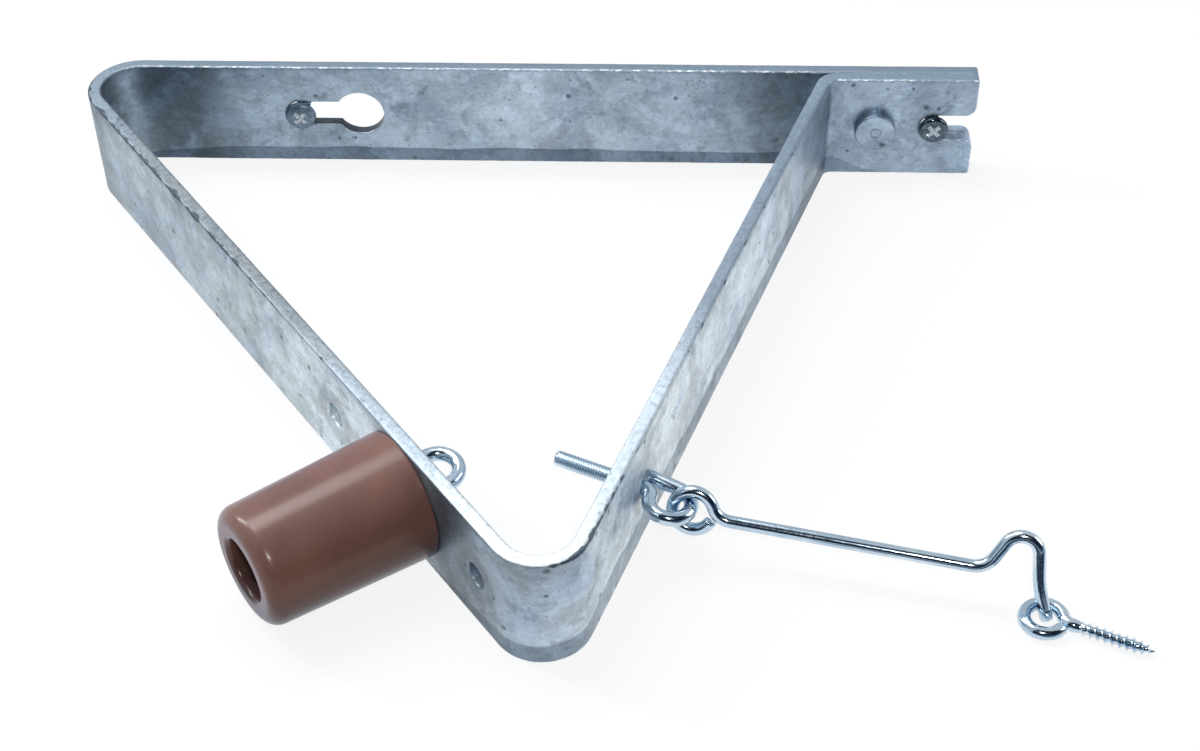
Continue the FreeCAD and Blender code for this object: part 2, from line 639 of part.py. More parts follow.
def add_hook_path(body):
    """Centre line of the hook in its own plane, from the free end of its eye to its tip."""
    ring, neck = size("hook_eye_radius"), size("hook_neck_radius")
    drop, wire = size("hook_shank_drop"), size("hook_wire")
    neck_height = neck - drop
    neck_start = math.sqrt((ring + neck) ** 2 - neck_height ** 2)
    tangent_angle = math.degrees(math.atan2(neck_height, neck_start))
    end_distance = neck + wire + size("eye_gap")
    cosine = ((ring + neck) ** 2 + ring ** 2 - end_distance ** 2) / (2 * (ring + neck) * ring)
    end_angle = 360 + tangent_angle - math.degrees(math.acos(cosine))
    heel, hump, flare = (size(f"hook_{part}_radius") for part in ("heel", "hump", "flare"))
    riser, leg = size("hook_riser_angle"), size("hook_leg_angle")
    flare_turn = size("hook_flare_angle")

    def step(start, angle, length):
        turn = math.radians(angle)
        return (start[0] + length * math.cos(turn), start[1] + length * math.sin(turn))

    heel_start = (size("hook_shank_length"), -drop)
    heel_centre = (heel_start[0], heel_start[1] + heel)
    heel_end = step(heel_centre, riser - 90, heel)
    riser_end = step(heel_end, riser, size("hook_riser_length"))
    hump_centre = step(riser_end, riser - 90, hump)
    hump_end = step(hump_centre, 90 - leg, hump)
    leg_end = step(hump_end, -leg, size("hook_leg_length"))
    flare_centre = step(leg_end, 90 - leg, flare)
    flare_end = step(flare_centre, 270 - leg + flare_turn, flare)
    tip = step(flare_end, flare_turn - leg, size("hook_tip_length"))
    path = new_sketch(body, "hook_path", "XY_Plane")
    path.addGeometry([
        arc((0, 0), ring, tangent_angle, end_angle),
        arc((neck_start, neck_height), neck, 180 + tangent_angle, 270),
        line((neck_start, -drop), heel_start),
        arc(heel_centre, heel, 270, 270 + riser),
        line(heel_end, riser_end),
        arc(hump_centre, hump, 90 - leg, 90 + riser),
        line(hump_end, leg_end),
        arc(flare_centre, flare, 270 - leg, 270 - leg + flare_turn),
        line(flare_end, tip),
    ])
    relate(path, "Coincident", 0, 3, -1, 1)
    joints = [(0, 1, 1, 1), (1, 2, 2, 1), (2, 2, 3, 1), (3, 2, 4, 1), (4, 2, 5, 2), (5, 1, 6, 1),
              (6, 2, 7, 1), (7, 2, 8, 1)]
    for joint in joints:
        relate(path, "Tangent", *joint)
    relate(path, "Horizontal", 2)
    radii = [(0, "hook_eye_radius", ring), (1, "hook_neck_radius", neck),
             (3, "hook_heel_radius", heel), (5, "hook_hump_radius", hump),
             (7, "hook_flare_radius", flare)]
    for number, alias, radius in radii:
        dimension(path, alias, alias, "Radius", number, radius)
    lengths = [(4, "hook_riser_length"), (6, "hook_leg_length"), (8, "hook_tip_length")]
    for number, alias in lengths:
        dimension(path, alias, alias, "Distance", number, 1, number, 2, size(alias))
    dimension(path, "drop", "hook_shank_drop", "DistanceY", 2, 1, -1, 1, drop)
    dimension(path, "shank", "hook_shank_length", "DistanceX", -1, 1, 2, 2, heel_start[0])
    dimension(path, "riser", "1 deg * hook_riser_angle", "Angle", 4, math.radians(riser))
    dimension(path, "leg", "-1 deg * hook_leg_angle", "Angle", 6, -math.radians(leg))
    dimension(path, "tip", "1 deg * (hook_flare_angle - hook_leg_angle)", "Angle", 8,
              math.radians(flare_turn - leg))
    dimension(path, "end", "hook_neck_radius + hook_wire + eye_gap",
              "Distance", 0, 2, 1, 3, end_distance)
    tip_way = Vector(*step((0, 0), flare_turn - leg, 1), 0)
    return path, Vector(*tip, 0), tip_way


def hook_frame(tip, tip_way):
    """The hook's rest: its eye hung over the bolt's ring and pulled outwards, its tip on the ground.

    The hook's own plane leans back from upright, and the shank is pitched until the tip's lowest
    point meets the ground.
    """
    bolt = hook_eye_placement()
    sweep_turn = Rotation(Vector(0, 0, 1), size("hook_sweep_angle"))
    hang = (size("hook_eye_radius") - (size("hook_wire") + size("bolt_wire")) / 2
            - size("hook_link_clearance"))
    centre = bolt * (sweep_turn * Vector(-size("hook_pull"), 0, -hang))
    heading = bolt.Rotation * (sweep_turn * Vector(-1, 0, 0))
    level = Vector(heading.x, heading.y, 0).normalize()
    lean = math.radians(size("hook_lean_angle"))
    ground = -width / 2
    steep, shallow = math.radians(PITCH_LIMIT), -math.radians(PITCH_LIMIT)
    for _ in range(PITCH_STEPS):
        pitch = (steep + shallow) / 2
        shank_way = level * math.cos(pitch) - Vector(0, 0, math.sin(pitch))
        upright = level * math.sin(pitch) + Vector(0, 0, math.cos(pitch))
        side = shank_way.cross(upright)
        rise = upright * math.cos(lean) - side * math.sin(lean)
        frame = Rotation(shank_way, rise, shank_way.cross(rise), "XYZ")
        end = centre + frame * tip
        slope = (frame * tip_way).z
        lowest = end.z - size("hook_wire") / 2 * math.sqrt(1 - slope ** 2)
        if lowest > ground:
            shallow = pitch
        else:
            steep = pitch
    return Placement(centre, frame)


def make_hook():
    """Hook bent from one wire: closed eye, straight shank, raised hump and a leg that flares out."""
    body = new_body("storm_hook")
    path, tip, tip_way = add_hook_path(body)
    across = Rotation(Vector(tip_way.y, -tip_way.x, 0), Vector(0, 0, 1), Vector(), "XYZ")
    section = circle_sketch(body, "wire_section", "XY_Plane", "hook_wire", Placement(tip, across))
    wire = sweep(body, "wire", section, path)

    def tip_edge(edge):
        return (edge.CenterOfMass - tip).Length < SAME_PLACE

    dress(body, "tip_chamfer", "Chamfer", wire, tip_edge, "hook_tip_chamfer")
    body.Placement = hook_frame(tip, tip_way)
    return body, tip, tip_way


def make_screw_eye(tip, tip_way):
    """Screw eye lying on the ground with the hook's tip inside its ring."""
    body = new_body("screw_eye")
    add_eye(body, "screw")
    line_up = Placement(Vector(0, -size("screw_ring_offset"), 0), Rotation())
    profile = new_sketch(body, "shank_profile", "XY_Plane", line_up)
    start, core = neck_reach("screw"), size("screw_eye_core") / 2
    taper = start + size("screw_eye_shank") - size("screw_eye_point")
    end = start + size("screw_eye_shank")
    profile.addGeometry([
        line((start, 0), (start, core)),
        line((start, core), (taper, core)),
        line((taper, core), (end, 0)),
        line((end, 0), (start, 0)),
    ])
    for first, second in [(0, 1), (1, 2), (2, 3), (3, 0)]:
        relate(profile, "Coincident", first, 2, second, 1)
    relate(profile, "PointOnObject", 0, 1, -1)
    relate(profile, "Vertical", 0)
    relate(profile, "Horizontal", 1)
    relate(profile, "Horizontal", 3)
    reach = ("sqrt((screw_ring_radius + eye_neck_radius) ^ 2"
             " - (eye_neck_radius - screw_ring_offset) ^ 2)")
    dimension(profile, "start", reach, "DistanceX", -1, 1, 0, 1, start)
    dimension(profile, "core", "screw_eye_core / 2", "DistanceY", 0, 1, 0, 2, core)
    dimension(profile, "length", "screw_eye_shank", "DistanceX", 0, 1, 2, 2, end - start)
    dimension(profile, "point", "screw_eye_point", "DistanceX", 1, 2, 2, 2, end - taper)
    revolve(body, "shank", profile)
    tip_end = hook_frame(tip, tip_way) * tip
    centre = Vector(tip_end.x - size("tip_right_of_ring"), tip_end.y - size("tip_behind_ring"),
                    size("screw_wire") / 2 - width / 2)
    body.Placement = Placement(centre, Rotation(Vector(0, 0, 1), size("screw_eye_turn_angle")))
    return body


def make_wall_screw(name, side, seat_x, seat_y):
    """Screw with a cross recess. Local X runs from the underside of its head to its point."""
    body = new_body(name)
    head_height = size(f"{side}_head_height")
    shank = circle_sketch(body, "shank_outline", "YZ_Plane", "screw_diameter")
    straight = pad(body, "shank", shank, "screw_length - screw_point")
    start = size("screw_length") - size("screw_point")
    profile = new_sketch(body, "point_profile", "XY_Plane")
    radius = size("screw_diameter") / 2
    profile.addGeometry([
        line((start, 0), (start, radius)),
        line((start, radius), (size("screw_length"), 0)),
        line((size("screw_length"), 0), (start, 0)),
    ])
    for first, second in [(0, 1), (1, 2), (2, 0)]:
        relate(profile, "Coincident", first, 2, second, 1)
    relate(profile, "PointOnObject", 0, 1, -1)
    relate(profile, "Vertical", 0)
    relate(profile, "Horizontal", 2)
    dimension(profile, "start", "screw_length - screw_point", "DistanceX", -1, 1, 0, 1, start)
    dimension(profile, "radius", "screw_diameter / 2", "DistanceY", 0, 1, 0, 2, radius)
    dimension(profile, "point", "screw_point", "DistanceX", 0, 1, 1, 2, size("screw_point"))
    revolve(body, "point", profile)
    outline = circle_sketch(body, "head_outline", "YZ_Plane", f"{side}_head_diameter")
    head = pad(body, "head", outline, f"{side}_head_height", backwards=True)
    head_rim = rim(-head_height, size(f"{side}_head_diameter") / 2)
    dress(body, "head_rounding", "Fillet", head, head_rim, f"{side}_head_rounding")
    wings = {"upright_wing": ("recess_wing", "recess_span"),
             "level_wing": ("recess_span", "recess_wing")}
    for wing, (across, upward) in wings.items():
        cut = body.newObject("PartDesign::SubtractiveBox", wing)
        cut.setExpression("Length", cells("recess_sink"))
        cut.setExpression("Width", cells(across))
        cut.setExpression("Height", cells(upward))
        cut.Placement = Placement(
            Vector(-head_height, -size(across) / 2, -size(upward) / 2), Rotation())
    into_wall = Rotation(Vector(0, 0, 1), 90)
    recess_turn = Rotation(Vector(1, 0, 0), size("recess_turn_angle"))
    body.Placement = Placement(Vector(seat_x, seat_y, 0), into_wall * recess_turn)
    return body


strip = make_strip()
rivet = make_rivet()
buffer = make_buffer()
bush = make_bush()
buffer_eye = make_eye_bolt("buffer_eye_bolt", buffer_eye_placement())
hook_eye = make_eye_bolt("hook_eye_bolt", hook_eye_placement())
hook, hook_tip, hook_tip_way = make_hook()
screw_eye = make_screw_eye(hook_tip, hook_tip_way)
left_screw = make_wall_screw("left_wall_screw", "left", -size("fixing_spacing") / 2, -thick)
right_screw = make_wall_screw("right_wall_screw", "right", size("fixing_spacing") / 2, -lap)
parts = [strip, rivet, buffer, bush, buffer_eye, hook_eye, hook, screw_eye, left_screw, right_screw]

doc.recompute()
for item in doc.Objects:
    if "Invalid" in item.State or "Error" in item.State:
        raise RuntimeError(f"{item.Name} failed: {item.State}")
for part in parts:
    if part.Shape.isNull() or not part.Shape.isValid():
        raise RuntimeError(f"{part.Label} has no valid shape")

os.makedirs("parts", exist_ok=True)
for part in parts:
    part.Shape.exportStep(f"parts/{part.Label}.step")
    solids = len(part.Shape.Solids)
    print(f"{part.Label}: {solids} solid, {part.Shape.Volume:.1f} mm3")

place = hook.Placement
pull_axis = place.Rotation * Vector(0, 0, 1)
print("hook hinge at", [round(value, 3) for value in place.Base],
      "axis", [round(value, 5) for value in pull_axis])
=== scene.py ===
import math

import bmesh
import bpy
from mathutils import Euler, Matrix, Vector, kdtree, noise
from mathutils.geometry import delaunay_2d_cdt


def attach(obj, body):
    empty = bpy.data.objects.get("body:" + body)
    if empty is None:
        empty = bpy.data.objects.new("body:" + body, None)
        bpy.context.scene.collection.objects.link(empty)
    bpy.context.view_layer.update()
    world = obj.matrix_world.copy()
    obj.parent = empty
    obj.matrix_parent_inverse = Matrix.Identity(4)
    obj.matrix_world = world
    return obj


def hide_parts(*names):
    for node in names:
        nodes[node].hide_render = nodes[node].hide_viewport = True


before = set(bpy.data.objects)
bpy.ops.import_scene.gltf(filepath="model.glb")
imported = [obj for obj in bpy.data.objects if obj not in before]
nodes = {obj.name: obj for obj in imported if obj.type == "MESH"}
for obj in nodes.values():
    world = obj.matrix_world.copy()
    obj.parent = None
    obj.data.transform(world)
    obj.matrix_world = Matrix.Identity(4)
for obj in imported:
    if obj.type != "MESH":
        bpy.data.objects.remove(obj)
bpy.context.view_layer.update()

# Bracket bar. One 40 x 4.5 mm flat steel bar, cut and punched while flat, bent into a triangle with
# a doubled right end, and hot-dip galvanised last. It is laid out flat here as well, meshed, and
# then bent; lengths are in millimetres and run from the right end of the back strip.
MM = 0.001
BAR_WIDTH = 40.0
BAR_THICK = 4.5
RIGHT_END = 126.9
# length of each run along the bar's middle line and the radius of its bend, which is 0 where the run is
# straight and negative where it bends clockwise: back strip, bend, left arm, apex, right arm, bend, tab
BAR_RUNS = [(293.500, 0.0), (31.4866, 14.25), (256.7509, 0.0), (27.6604, 12.75), (229.9684, 0.0),
            (6.4965, -5.25), (49.3641, 0.0)]
BAR_LENGTH = sum(length for length, radius in BAR_RUNS)
EDGE_ROUNDING = 0.7
CORNER_ROUNDING = 1.0
OUTLINE_STEP = 1.0
half_width, half_thick = BAR_WIDTH / 2, BAR_THICK / 2


def bar_frame(along):
    """Point on the bar's middle line and its heading there; the triangle's inside is to the left."""
    x, y = RIGHT_END, -half_thick
    heading = math.pi
    for number, (length, radius) in enumerate(BAR_RUNS):
        last = number == len(BAR_RUNS) - 1
        run = along if last else min(along, length)
        if radius:
            turned_to = heading + run / radius
            x += radius * (math.sin(turned_to) - math.sin(heading))
            y -= radius * (math.cos(turned_to) - math.cos(heading))
            heading = turned_to
        else:
            x += run * math.cos(heading)
            y += run * math.sin(heading)
        along -= run
        if along <= 0 and not last:
            break
    return Vector((x, y)), Vector((math.cos(heading), math.sin(heading)))


def filled_in(line, spacing):
    """A closed line with points added until they are at most a spacing apart."""
    dense = []
    for number, point in enumerate(line):
        after = line[(number + 1) % len(line)]
        steps = max(1, math.ceil((after - point).length / spacing))
        dense += [point.lerp(after, step / steps) for step in range(steps)]
    return dense


def rounded_outline(corners):
    """Closed line through rounded corners, each (along, across, radius)."""
    line = []
    count = len(corners)
    for number in range(count):
        before, here, after = (Vector(corners[(number + step) % count][:2]) for step in (-1, 0, 1))
        radius = corners[number][2]
        back, ahead = (before - here).normalized(), (after - here).normalized()
        half = back.angle(ahead) / 2
        centre = here + (back + ahead).normalized() * radius / math.sin(half)
        first = here + back * radius / math.tan(half) - centre
        last = here + ahead * radius / math.tan(half) - centre
        turn = first.angle_signed(last)
        steps = max(3, math.ceil(abs(turn) * radius / OUTLINE_STEP * 1.6))
        line += [centre + Matrix.Rotation(-turn * step / steps, 2) @ first for step in range(steps + 1)]
    return filled_in(line, OUTLINE_STEP)


NOTCH_HALF = 4.95
NOTCH_SEAT = 14.4
NOTCH_MOUTH = 3.8


def end_notch(end, inward):
    """Corners of the open notch at one end of the bar, in the order in which they are met."""
    closed = end + inward * (NOTCH_SEAT + NOTCH_HALF)
    first, second = inward * NOTCH_HALF, -inward * NOTCH_HALF
    closed_radius = NOTCH_HALF - 0.01
    return [(end, first, NOTCH_MOUTH), (closed, first, closed_radius),
            (closed, second, closed_radius), (end, second, NOTCH_MOUTH)]


def round_hole(along, radius, count):
    """Points round a hole on the bar's middle line, met clockwise."""
    return [Vector((along + radius * math.cos(-math.tau * step / count),
                    radius * math.sin(-math.tau * step / count))) for step in range(count)]


def keyhole():
    """Round hole for a screw's head with a slot for its shank, met clockwise."""
    centre, seat, rise = 218.2, 239.4, 0.6
    radius, half_slot = 8.55, 4.7
    opening = math.asin(half_slot / radius)
    points = []
    for step in range(45):
        angle = -opening - (math.tau - 2 * opening) * step / 44
        points.append(Vector((centre + radius * math.cos(angle), rise + radius * math.sin(angle))))
    for step in range(19):
        angle = math.pi / 2 - math.pi * step / 18
        points.append(Vector((seat + half_slot * math.cos(angle), rise + half_slot * math.sin(angle))))
    return filled_in(points, OUTLINE_STEP)


RIVET_FROM_END = 35.1
RIVET_HOLE_RADIUS = 5.0
ARM_HOLE_RADIUS = 4.0
ARM_HOLES = {"rear_spare": 491.7275, "buffer_bolt": 532.1275, "front_spare": 571.3275, "hook_bolt": 652.808}
bar_outline = rounded_outline(
    [(0, -half_width, CORNER_ROUNDING), (BAR_LENGTH, -half_width, CORNER_ROUNDING)]
    + end_notch(BAR_LENGTH, -1)
    + [(BAR_LENGTH, half_width, CORNER_ROUNDING), (0, half_width, CORNER_ROUNDING)] + end_notch(0, 1))
bar_loops = [bar_outline, keyhole(), round_hole(RIVET_FROM_END, RIVET_HOLE_RADIUS, 40),
             round_hole(BAR_LENGTH - RIVET_FROM_END, RIVET_HOLE_RADIUS, 40)]
bar_loops += [round_hole(along, ARM_HOLE_RADIUS, 36) for along in ARM_HOLES.values()]


def inward_sides(loop):
    """For each point of a loop, the direction into the metal, stretched where the loop turns a corner."""
    sides = []
    for number, point in enumerate(loop):
        ahead = (loop[(number + 1) % len(loop)] - point).normalized()
        back = (point - loop[number - 1]).normalized()
        left_back, left_ahead = Vector((-back.y, back.x)), Vector((-ahead.y, ahead.x))
        middle = (left_back + left_ahead).normalized()
        sides.append(middle / max(0.5, middle.dot(left_ahead)))
    return sides


bar_sides = [inward_sides(loop) for loop in bar_loops]
inset_loops = [[point + side * EDGE_ROUNDING for point, side in zip(loop, sides)]
               for loop, sides in zip(bar_loops, bar_sides)]
cut_spans = [(loop, min(point.x for point in loop), max(point.x for point in loop))
             for loop in inset_loops]
cut_points = [point for loop in inset_loops for point in loop]
near_cut = kdtree.KDTree(len(cut_points))
for number, point in enumerate(cut_points):
    near_cut.insert((*point, 0), number)
near_cut.balance()


def in_metal(point):
    """Even-odd test of a flat point against every cut edge that spans its place along the bar."""
    crossings = 0
    for loop, low, high in cut_spans:
        if low > point.x or high < point.x:
            continue
        for number, one in enumerate(loop):
            two = loop[(number + 1) % len(loop)]
            if (one.y > point.y) != (two.y > point.y):
                if point.x < one.x + (point.y - one.y) * (two.x - one.x) / (two.y - one.y):
                    crossings += 1
    return crossings % 2 == 1


# a grid of points fills the flat face between the cuts, closer together along the bends; only those
# near an end or a hole need the test
FACE_STEP = 2.0
BEND_STEP = 0.9
CUT_CLEARANCE = 1.2
END_ZONE = NOTCH_SEAT + 10
flat_points = []
flat_edges = []
for loop in inset_loops:
    first = len(flat_points)
    flat_points += loop
    flat_edges += [(first + step, first + (step + 1) % len(loop)) for step in range(len(loop))]
grid_places = []
run_start = 0.0
for length, radius in BAR_RUNS:
    count = math.ceil(length / (BEND_STEP if radius else FACE_STEP))
    grid_places += [run_start + length * (step + 0.5) / count for step in range(count)]
    run_start += length
for along in grid_places:
    by_hole = any(low <= along <= high for loop, low, high in cut_spans[1:])
    near_end = not END_ZONE < along < BAR_LENGTH - END_ZONE
    for row in range(-9, 10):
        point = Vector((along, row * FACE_STEP))
        if near_cut.find((*point, 0))[2] > CUT_CLEARANCE and (not (by_hole or near_end) or in_metal(point)):
            flat_points.append(point)
sheet_points, _, sheet_faces, *_ = delaunay_2d_cdt(flat_points, flat_edges, [], 0, 1e-5)
sheet_triangles = []
for face in sheet_faces:
    corners = [sheet_points[index] for index in face]
    on_cuts = all(near_cut.find((*corner, 0))[2] < 1e-3 for corner in corners)
    if not on_cuts or in_metal(sum(corners, Vector((0, 0))) / len(corners)):
        sheet_triangles.append(face)


def zinc_lumps(place, along, across, depth, edge):
    """How far the zinc skin stands proud at a point: gentle waves on the faces, and beads on the edges
    of the arms, where the bar drained, that grow towards the apex and break up its outer top corner."""
    arms_start, arms_end, apex, apex_reach = 330, 838, 604, 22
    skin = 0.05 * noise.noise(place / 15.0) + 0.02 * noise.noise(place / 4.0)
    beads = 0.075 * noise.noise(place / 2.0 + Vector((7, 3, 1))) + 0.06 * noise.noise(place / 0.9)
    drained = 1.0 if arms_start < along < arms_end else 0.25
    drained += 0.9 * math.exp(-((along - apex) / apex_reach) ** 2)
    height = skin + edge * beads * drained
    on_seam = edge * max(0.0, 1 - abs(depth + half_thick - 0.35) / 0.6) * (across > 18)
    ragged = noise.noise(Vector((along / 7.0, 2.5, 0))) + 0.6 * noise.noise(Vector((along / 1.7, 9, 0)))
    height -= 0.22 * on_seam * max(0.0, ragged) * min(1.0, drained)
    return min(height, 0.16)


class FlatBar:
    """Gathers points of the flat bar and their places after bending."""

    def __init__(self):
        self.places, self.flats, self.faces, self.rims = [], [], [], []

    def point(self, flat, depth, lean, edge):
        """A point at (along, across) and a depth from the middle; lean is its outward direction."""
        middle, heading = bar_frame(flat.x)
        inside = Vector((-heading.y, heading.x))
        place = Vector((*(middle + inside * depth), flat.y))
        outward = Vector((*(heading * lean[0] + inside * lean[2]), lean[1])).normalized()
        height = zinc_lumps(place, flat.x, flat.y, depth, edge)
        self.places.append((place + outward * height) * MM)
        self.rims.append(edge)
        self.flats.append((flat.x * MM, flat.y * MM, depth * MM))
        return len(self.places) - 1


flat_bar = FlatBar()
outer_face = [flat_bar.point(point, -half_thick, (0, 0, -1), 0.0) for point in sheet_points]
inner_face = [flat_bar.point(point, half_thick, (0, 0, 1), 0.0) for point in sheet_points]
for face in sheet_triangles:
    flat_bar.faces.append([inner_face[index] for index in reversed(face)])
    flat_bar.faces.append([outer_face[index] for index in face])
index_of = {(round(p.x, 4), round(p.y, 4)): number for number, p in enumerate(sheet_points)}
# rows of the rim, as (degrees round the rounding, share of the way down the wall)
rim_rows = [(22.5, 0.0), (45.0, 0.0), (67.5, 0.0), (90.0, 0.0), (90.0, 0.25), (90.0, 0.5), (90.0, 0.75),
            (90.0, 1.0), (112.5, 1.0), (135.0, 1.0), (157.5, 1.0)]
wall_height = BAR_THICK - 2 * EDGE_ROUNDING
for loop, sides, inset in zip(bar_loops, bar_sides, inset_loops):
    keys = [(round(p.x, 4), round(p.y, 4)) for p in inset]
    rows = [[inner_face[index_of[key]] for key in keys]]
    for degrees, down in rim_rows:
        angle = math.radians(degrees)
        bulge = math.sin(angle)
        depth = wall_height / 2 - down * wall_height + EDGE_ROUNDING * math.cos(angle)
        rows.append([flat_bar.point(point + side * EDGE_ROUNDING * (1 - bulge), depth,
                                    (-side.x * bulge, -side.y * bulge, math.cos(angle)), bulge)
                     for point, side in zip(loop, sides)])
    rows.append([outer_face[index_of[key]] for key in keys])
    for upper, lower in zip(rows, rows[1:]):
        for step in range(len(loop)):
            after = (step + 1) % len(loop)
            flat_bar.faces.append([upper[step], upper[after], lower[after], lower[step]])


def in_scene(name, data):
    """An object for a mesh, a lamp or a camera, put in the scene."""
    made = bpy.data.objects.new(name, data)
    bpy.context.scene.collection.objects.link(made)
    return made


def clean_mesh(name, places, faces, gap, marks=()):
    """A mesh whose points nearer than a gap in metres are joined, with its slivers taken out and its
    faces turned outward. Marks are values of its points, as (name, type, what holds a value, values)."""
    mesh = bpy.data.meshes.new(name)
    mesh.from_pydata(places, [], faces)
    for mark, kind, holds, values in marks:
        mesh.attributes.new(mark, kind, "POINT").data.foreach_set(holds, values)
    work = bmesh.new()
    work.from_mesh(mesh)
    bmesh.ops.remove_doubles(work, verts=work.verts, dist=gap)
    bmesh.ops.dissolve_degenerate(work, edges=work.edges, dist=2e-7)
    bmesh.ops.recalc_face_normals(work, faces=work.faces)
    work.to_mesh(mesh)
    work.free()
    return mesh


def new_piece(name, places, faces, body, flats=(), mark=None, sharp_from=None):
    """A smooth-shaded piece that rides on a body. Flats give each point its place on the flat bar, and
    mark is (name, one more value of each point)."""
    marks = []
    if mark:
        marks.append(("flat_place", "FLOAT_VECTOR", "vector", [value for flat in flats for value in flat]))
        marks.append((mark[0], "FLOAT", "value", mark[1]))
    mesh = clean_mesh(name, places, faces, 2e-7, marks)
    mesh.shade_smooth()
    if sharp_from:
        mesh.set_sharp_from_angle(angle=math.radians(sharp_from))
    piece = in_scene(name, mesh)
    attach(piece, body)
    return piece


bar = new_piece("galvanised_bar", flat_bar.places, flat_bar.faces, "bracket", flat_bar.flats,
                ("rim", flat_bar.rims))
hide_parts("bracket_strip")


def linear(code):
    """Shader colour from an sRGB hex value."""
    values = [int(code[place:place + 2], 16) / 255 for place in (1, 3, 5)]
    return [v / 12.92 if v <= 0.04045 else ((v + 0.055) / 1.055) ** 2.4 for v in values] + [1.0]


def new_material(name):
    """A material and its main shader."""
    material = bpy.data.materials.new(name)
    material.use_nodes = True
    return material, material.node_tree.nodes["Principled BSDF"]


def feed(node, inputs):
    """Gives a node its inputs, in a list by place or in a dict by name: each is a number, a colour or
    another node's output."""
    for socket, value in inputs.items() if isinstance(inputs, dict) else enumerate(inputs):
        if isinstance(value, bpy.types.NodeSocket):
            node.id_data.links.new(value, node.inputs[socket])
        else:
            node.inputs[socket].default_value = value


def add(material, kind, inputs, out=0, marks=(), **settings):
    """Adds one shader node and returns its output. Marks are those of a colour ramp, each a position
    and an sRGB hex value or a grey level."""
    made = material.node_tree.nodes.new("ShaderNode" + kind)
    for name, value in settings.items():
        setattr(made, name, value)
    for _ in marks[2:]:
        made.color_ramp.elements.new(0.5)
    for number, (position, tone) in enumerate(marks):
        element = made.color_ramp.elements[number]
        element.position = position
        element.color = linear(tone) if isinstance(tone, str) else (tone, tone, tone, 1)
    feed(made, inputs)
    return made.outputs[out]


def per_metre(size_mm):
    """Pattern scale, in metres of surface, for features of a size in millimetres."""
    return 1000.0 / size_mm


# Hot-dip galvanised steel: a zinc skin about 0.08 mm thick that froze unevenly. It gives a half-matt
# blue-grey with stains, faint crystals, drawn-out streaks and dark specks of ash, paler narrow edges
# with a thin dark seam of ash, and a smoother, darker band where the bar drained along its lower edge.
# Painted shade darkens the bends, a corner, the left arm beside the buffer, the keyhole's wall and a soft
# line along the arms' top corner, and painted glints lie on the lips of the back strip, keyhole and tab.
zinc, zinc_shader = new_material("hot_dip_zinc")
flat_place = add(zinc, "Attribute", {}, out="Vector", attribute_name="flat_place")
rim = add(zinc, "Attribute", {}, out="Fac", attribute_name="rim")
split = add(zinc, "SeparateXYZ", [flat_place]).node.outputs
region = add(zinc, "Math", [split["X"], 1000 / BAR_LENGTH], operation="MULTIPLY")
# the tone by stretch of the bar: back strip, left bend, left arm, apex, right arm, tab. It is partly the
# zinc's own patina and partly painted shade: dark in and by the left bend, in the corner where the right
# arm meets the back strip, and on the left arm just past the buffer, where its shadow is painted.
patina_and_shade_tone = add(zinc, "ValToRGB", [region], marks=[
    (0.00, "#a5b6c6"), (0.055, "#8d9dab"), (0.066, "#66757f"), (0.086, "#7e8d9a"), (0.105, "#a2b3c2"),
    (0.18, "#b3c2d0"), (0.26, "#a3b5c5"), (0.292, "#8fa0ae"), (0.309, "#62717e"), (0.323, "#5a6975"),
    (0.334, "#94a6b5"), (0.343, "#65737f"), (0.356, "#75838f"), (0.375, "#9fadb7"), (0.406, "#a8b6c0"),
    (0.45, "#abb8c1"), (0.49, "#b4c0c7"), (0.53, "#cbd8e0"), (0.58, "#c6d2da"), (0.622, "#6a7782"),
    (0.645, "#95a4b2"), (0.665, "#abb9c6"), (0.70, "#cfdbe3"), (0.76, "#dce6ec"), (0.80, "#ccd8e2"),
    (0.84, "#dae8f3"), (0.875, "#b4c2cf"), (0.90, "#a0b1c1"), (0.93, "#8f9fad"), (0.945, "#a0b2c4"),
    (1.00, "#aec1d4")])
# shares that lighten or darken it, as (size in mm, detail, roughness, distortion, low, high, darkest,
# palest): broad clouds, stains with a crisp border, mottle, small flecks
clouds = []
shares = []
for size_mm, detail, rough, distortion, low, high, darkest, palest in (
        (30, 4, 0.60, 0.25, 0.30, 0.70, 0.84, 1.13), (19, 9, 0.66, 0.7, 0.48, 0.52, 0.88, 1.06),
        (8, 9, 0.70, 0.5, 0.52, 0.57, 1.02, 0.90), (4.5, 7, 0.70, 0.0, 0.30, 0.70, 0.84, 1.14),
        (1.6, 4, 0.75, 0.0, 0.30, 0.70, 0.88, 1.10)):
    clouds.append(add(zinc, "TexNoise", {
        "Vector": flat_place, "Scale": per_metre(size_mm), "Detail": detail, "Roughness": rough,
        "Distortion": distortion}))
    shares.append(add(zinc, "MapRange", [clouds[-1], low, high, darkest, palest]))
# rolling marks run along the bar, about 1 mm apart
drawn = add(zinc, "Mapping", {"Vector": flat_place, "Scale": (0.12, 1.0, 1.0)})
streak = add(zinc, "TexNoise", {"Vector": drawn, "Scale": per_metre(1.3), "Detail": 3, "Roughness": 0.6})
shares.append(add(zinc, "MapRange", [streak, 0.30, 0.70, 0.95, 1.03]))
# crystals of zinc about 4.5 mm across, each a little lighter or darker than the next
crystal = add(zinc, "TexVoronoi", {"Vector": flat_place, "Scale": per_metre(4.5)}, out="Color")
crystal_grey = add(zinc, "SeparateColor", [crystal])
shares.append(add(zinc, "MapRange", [crystal_grey, 0.0, 1.0, 0.94, 1.05]))
all_shares = shares[0]
for share in shares[1:]:
    all_shares = add(zinc, "Math", [all_shares, share], operation="MULTIPLY")
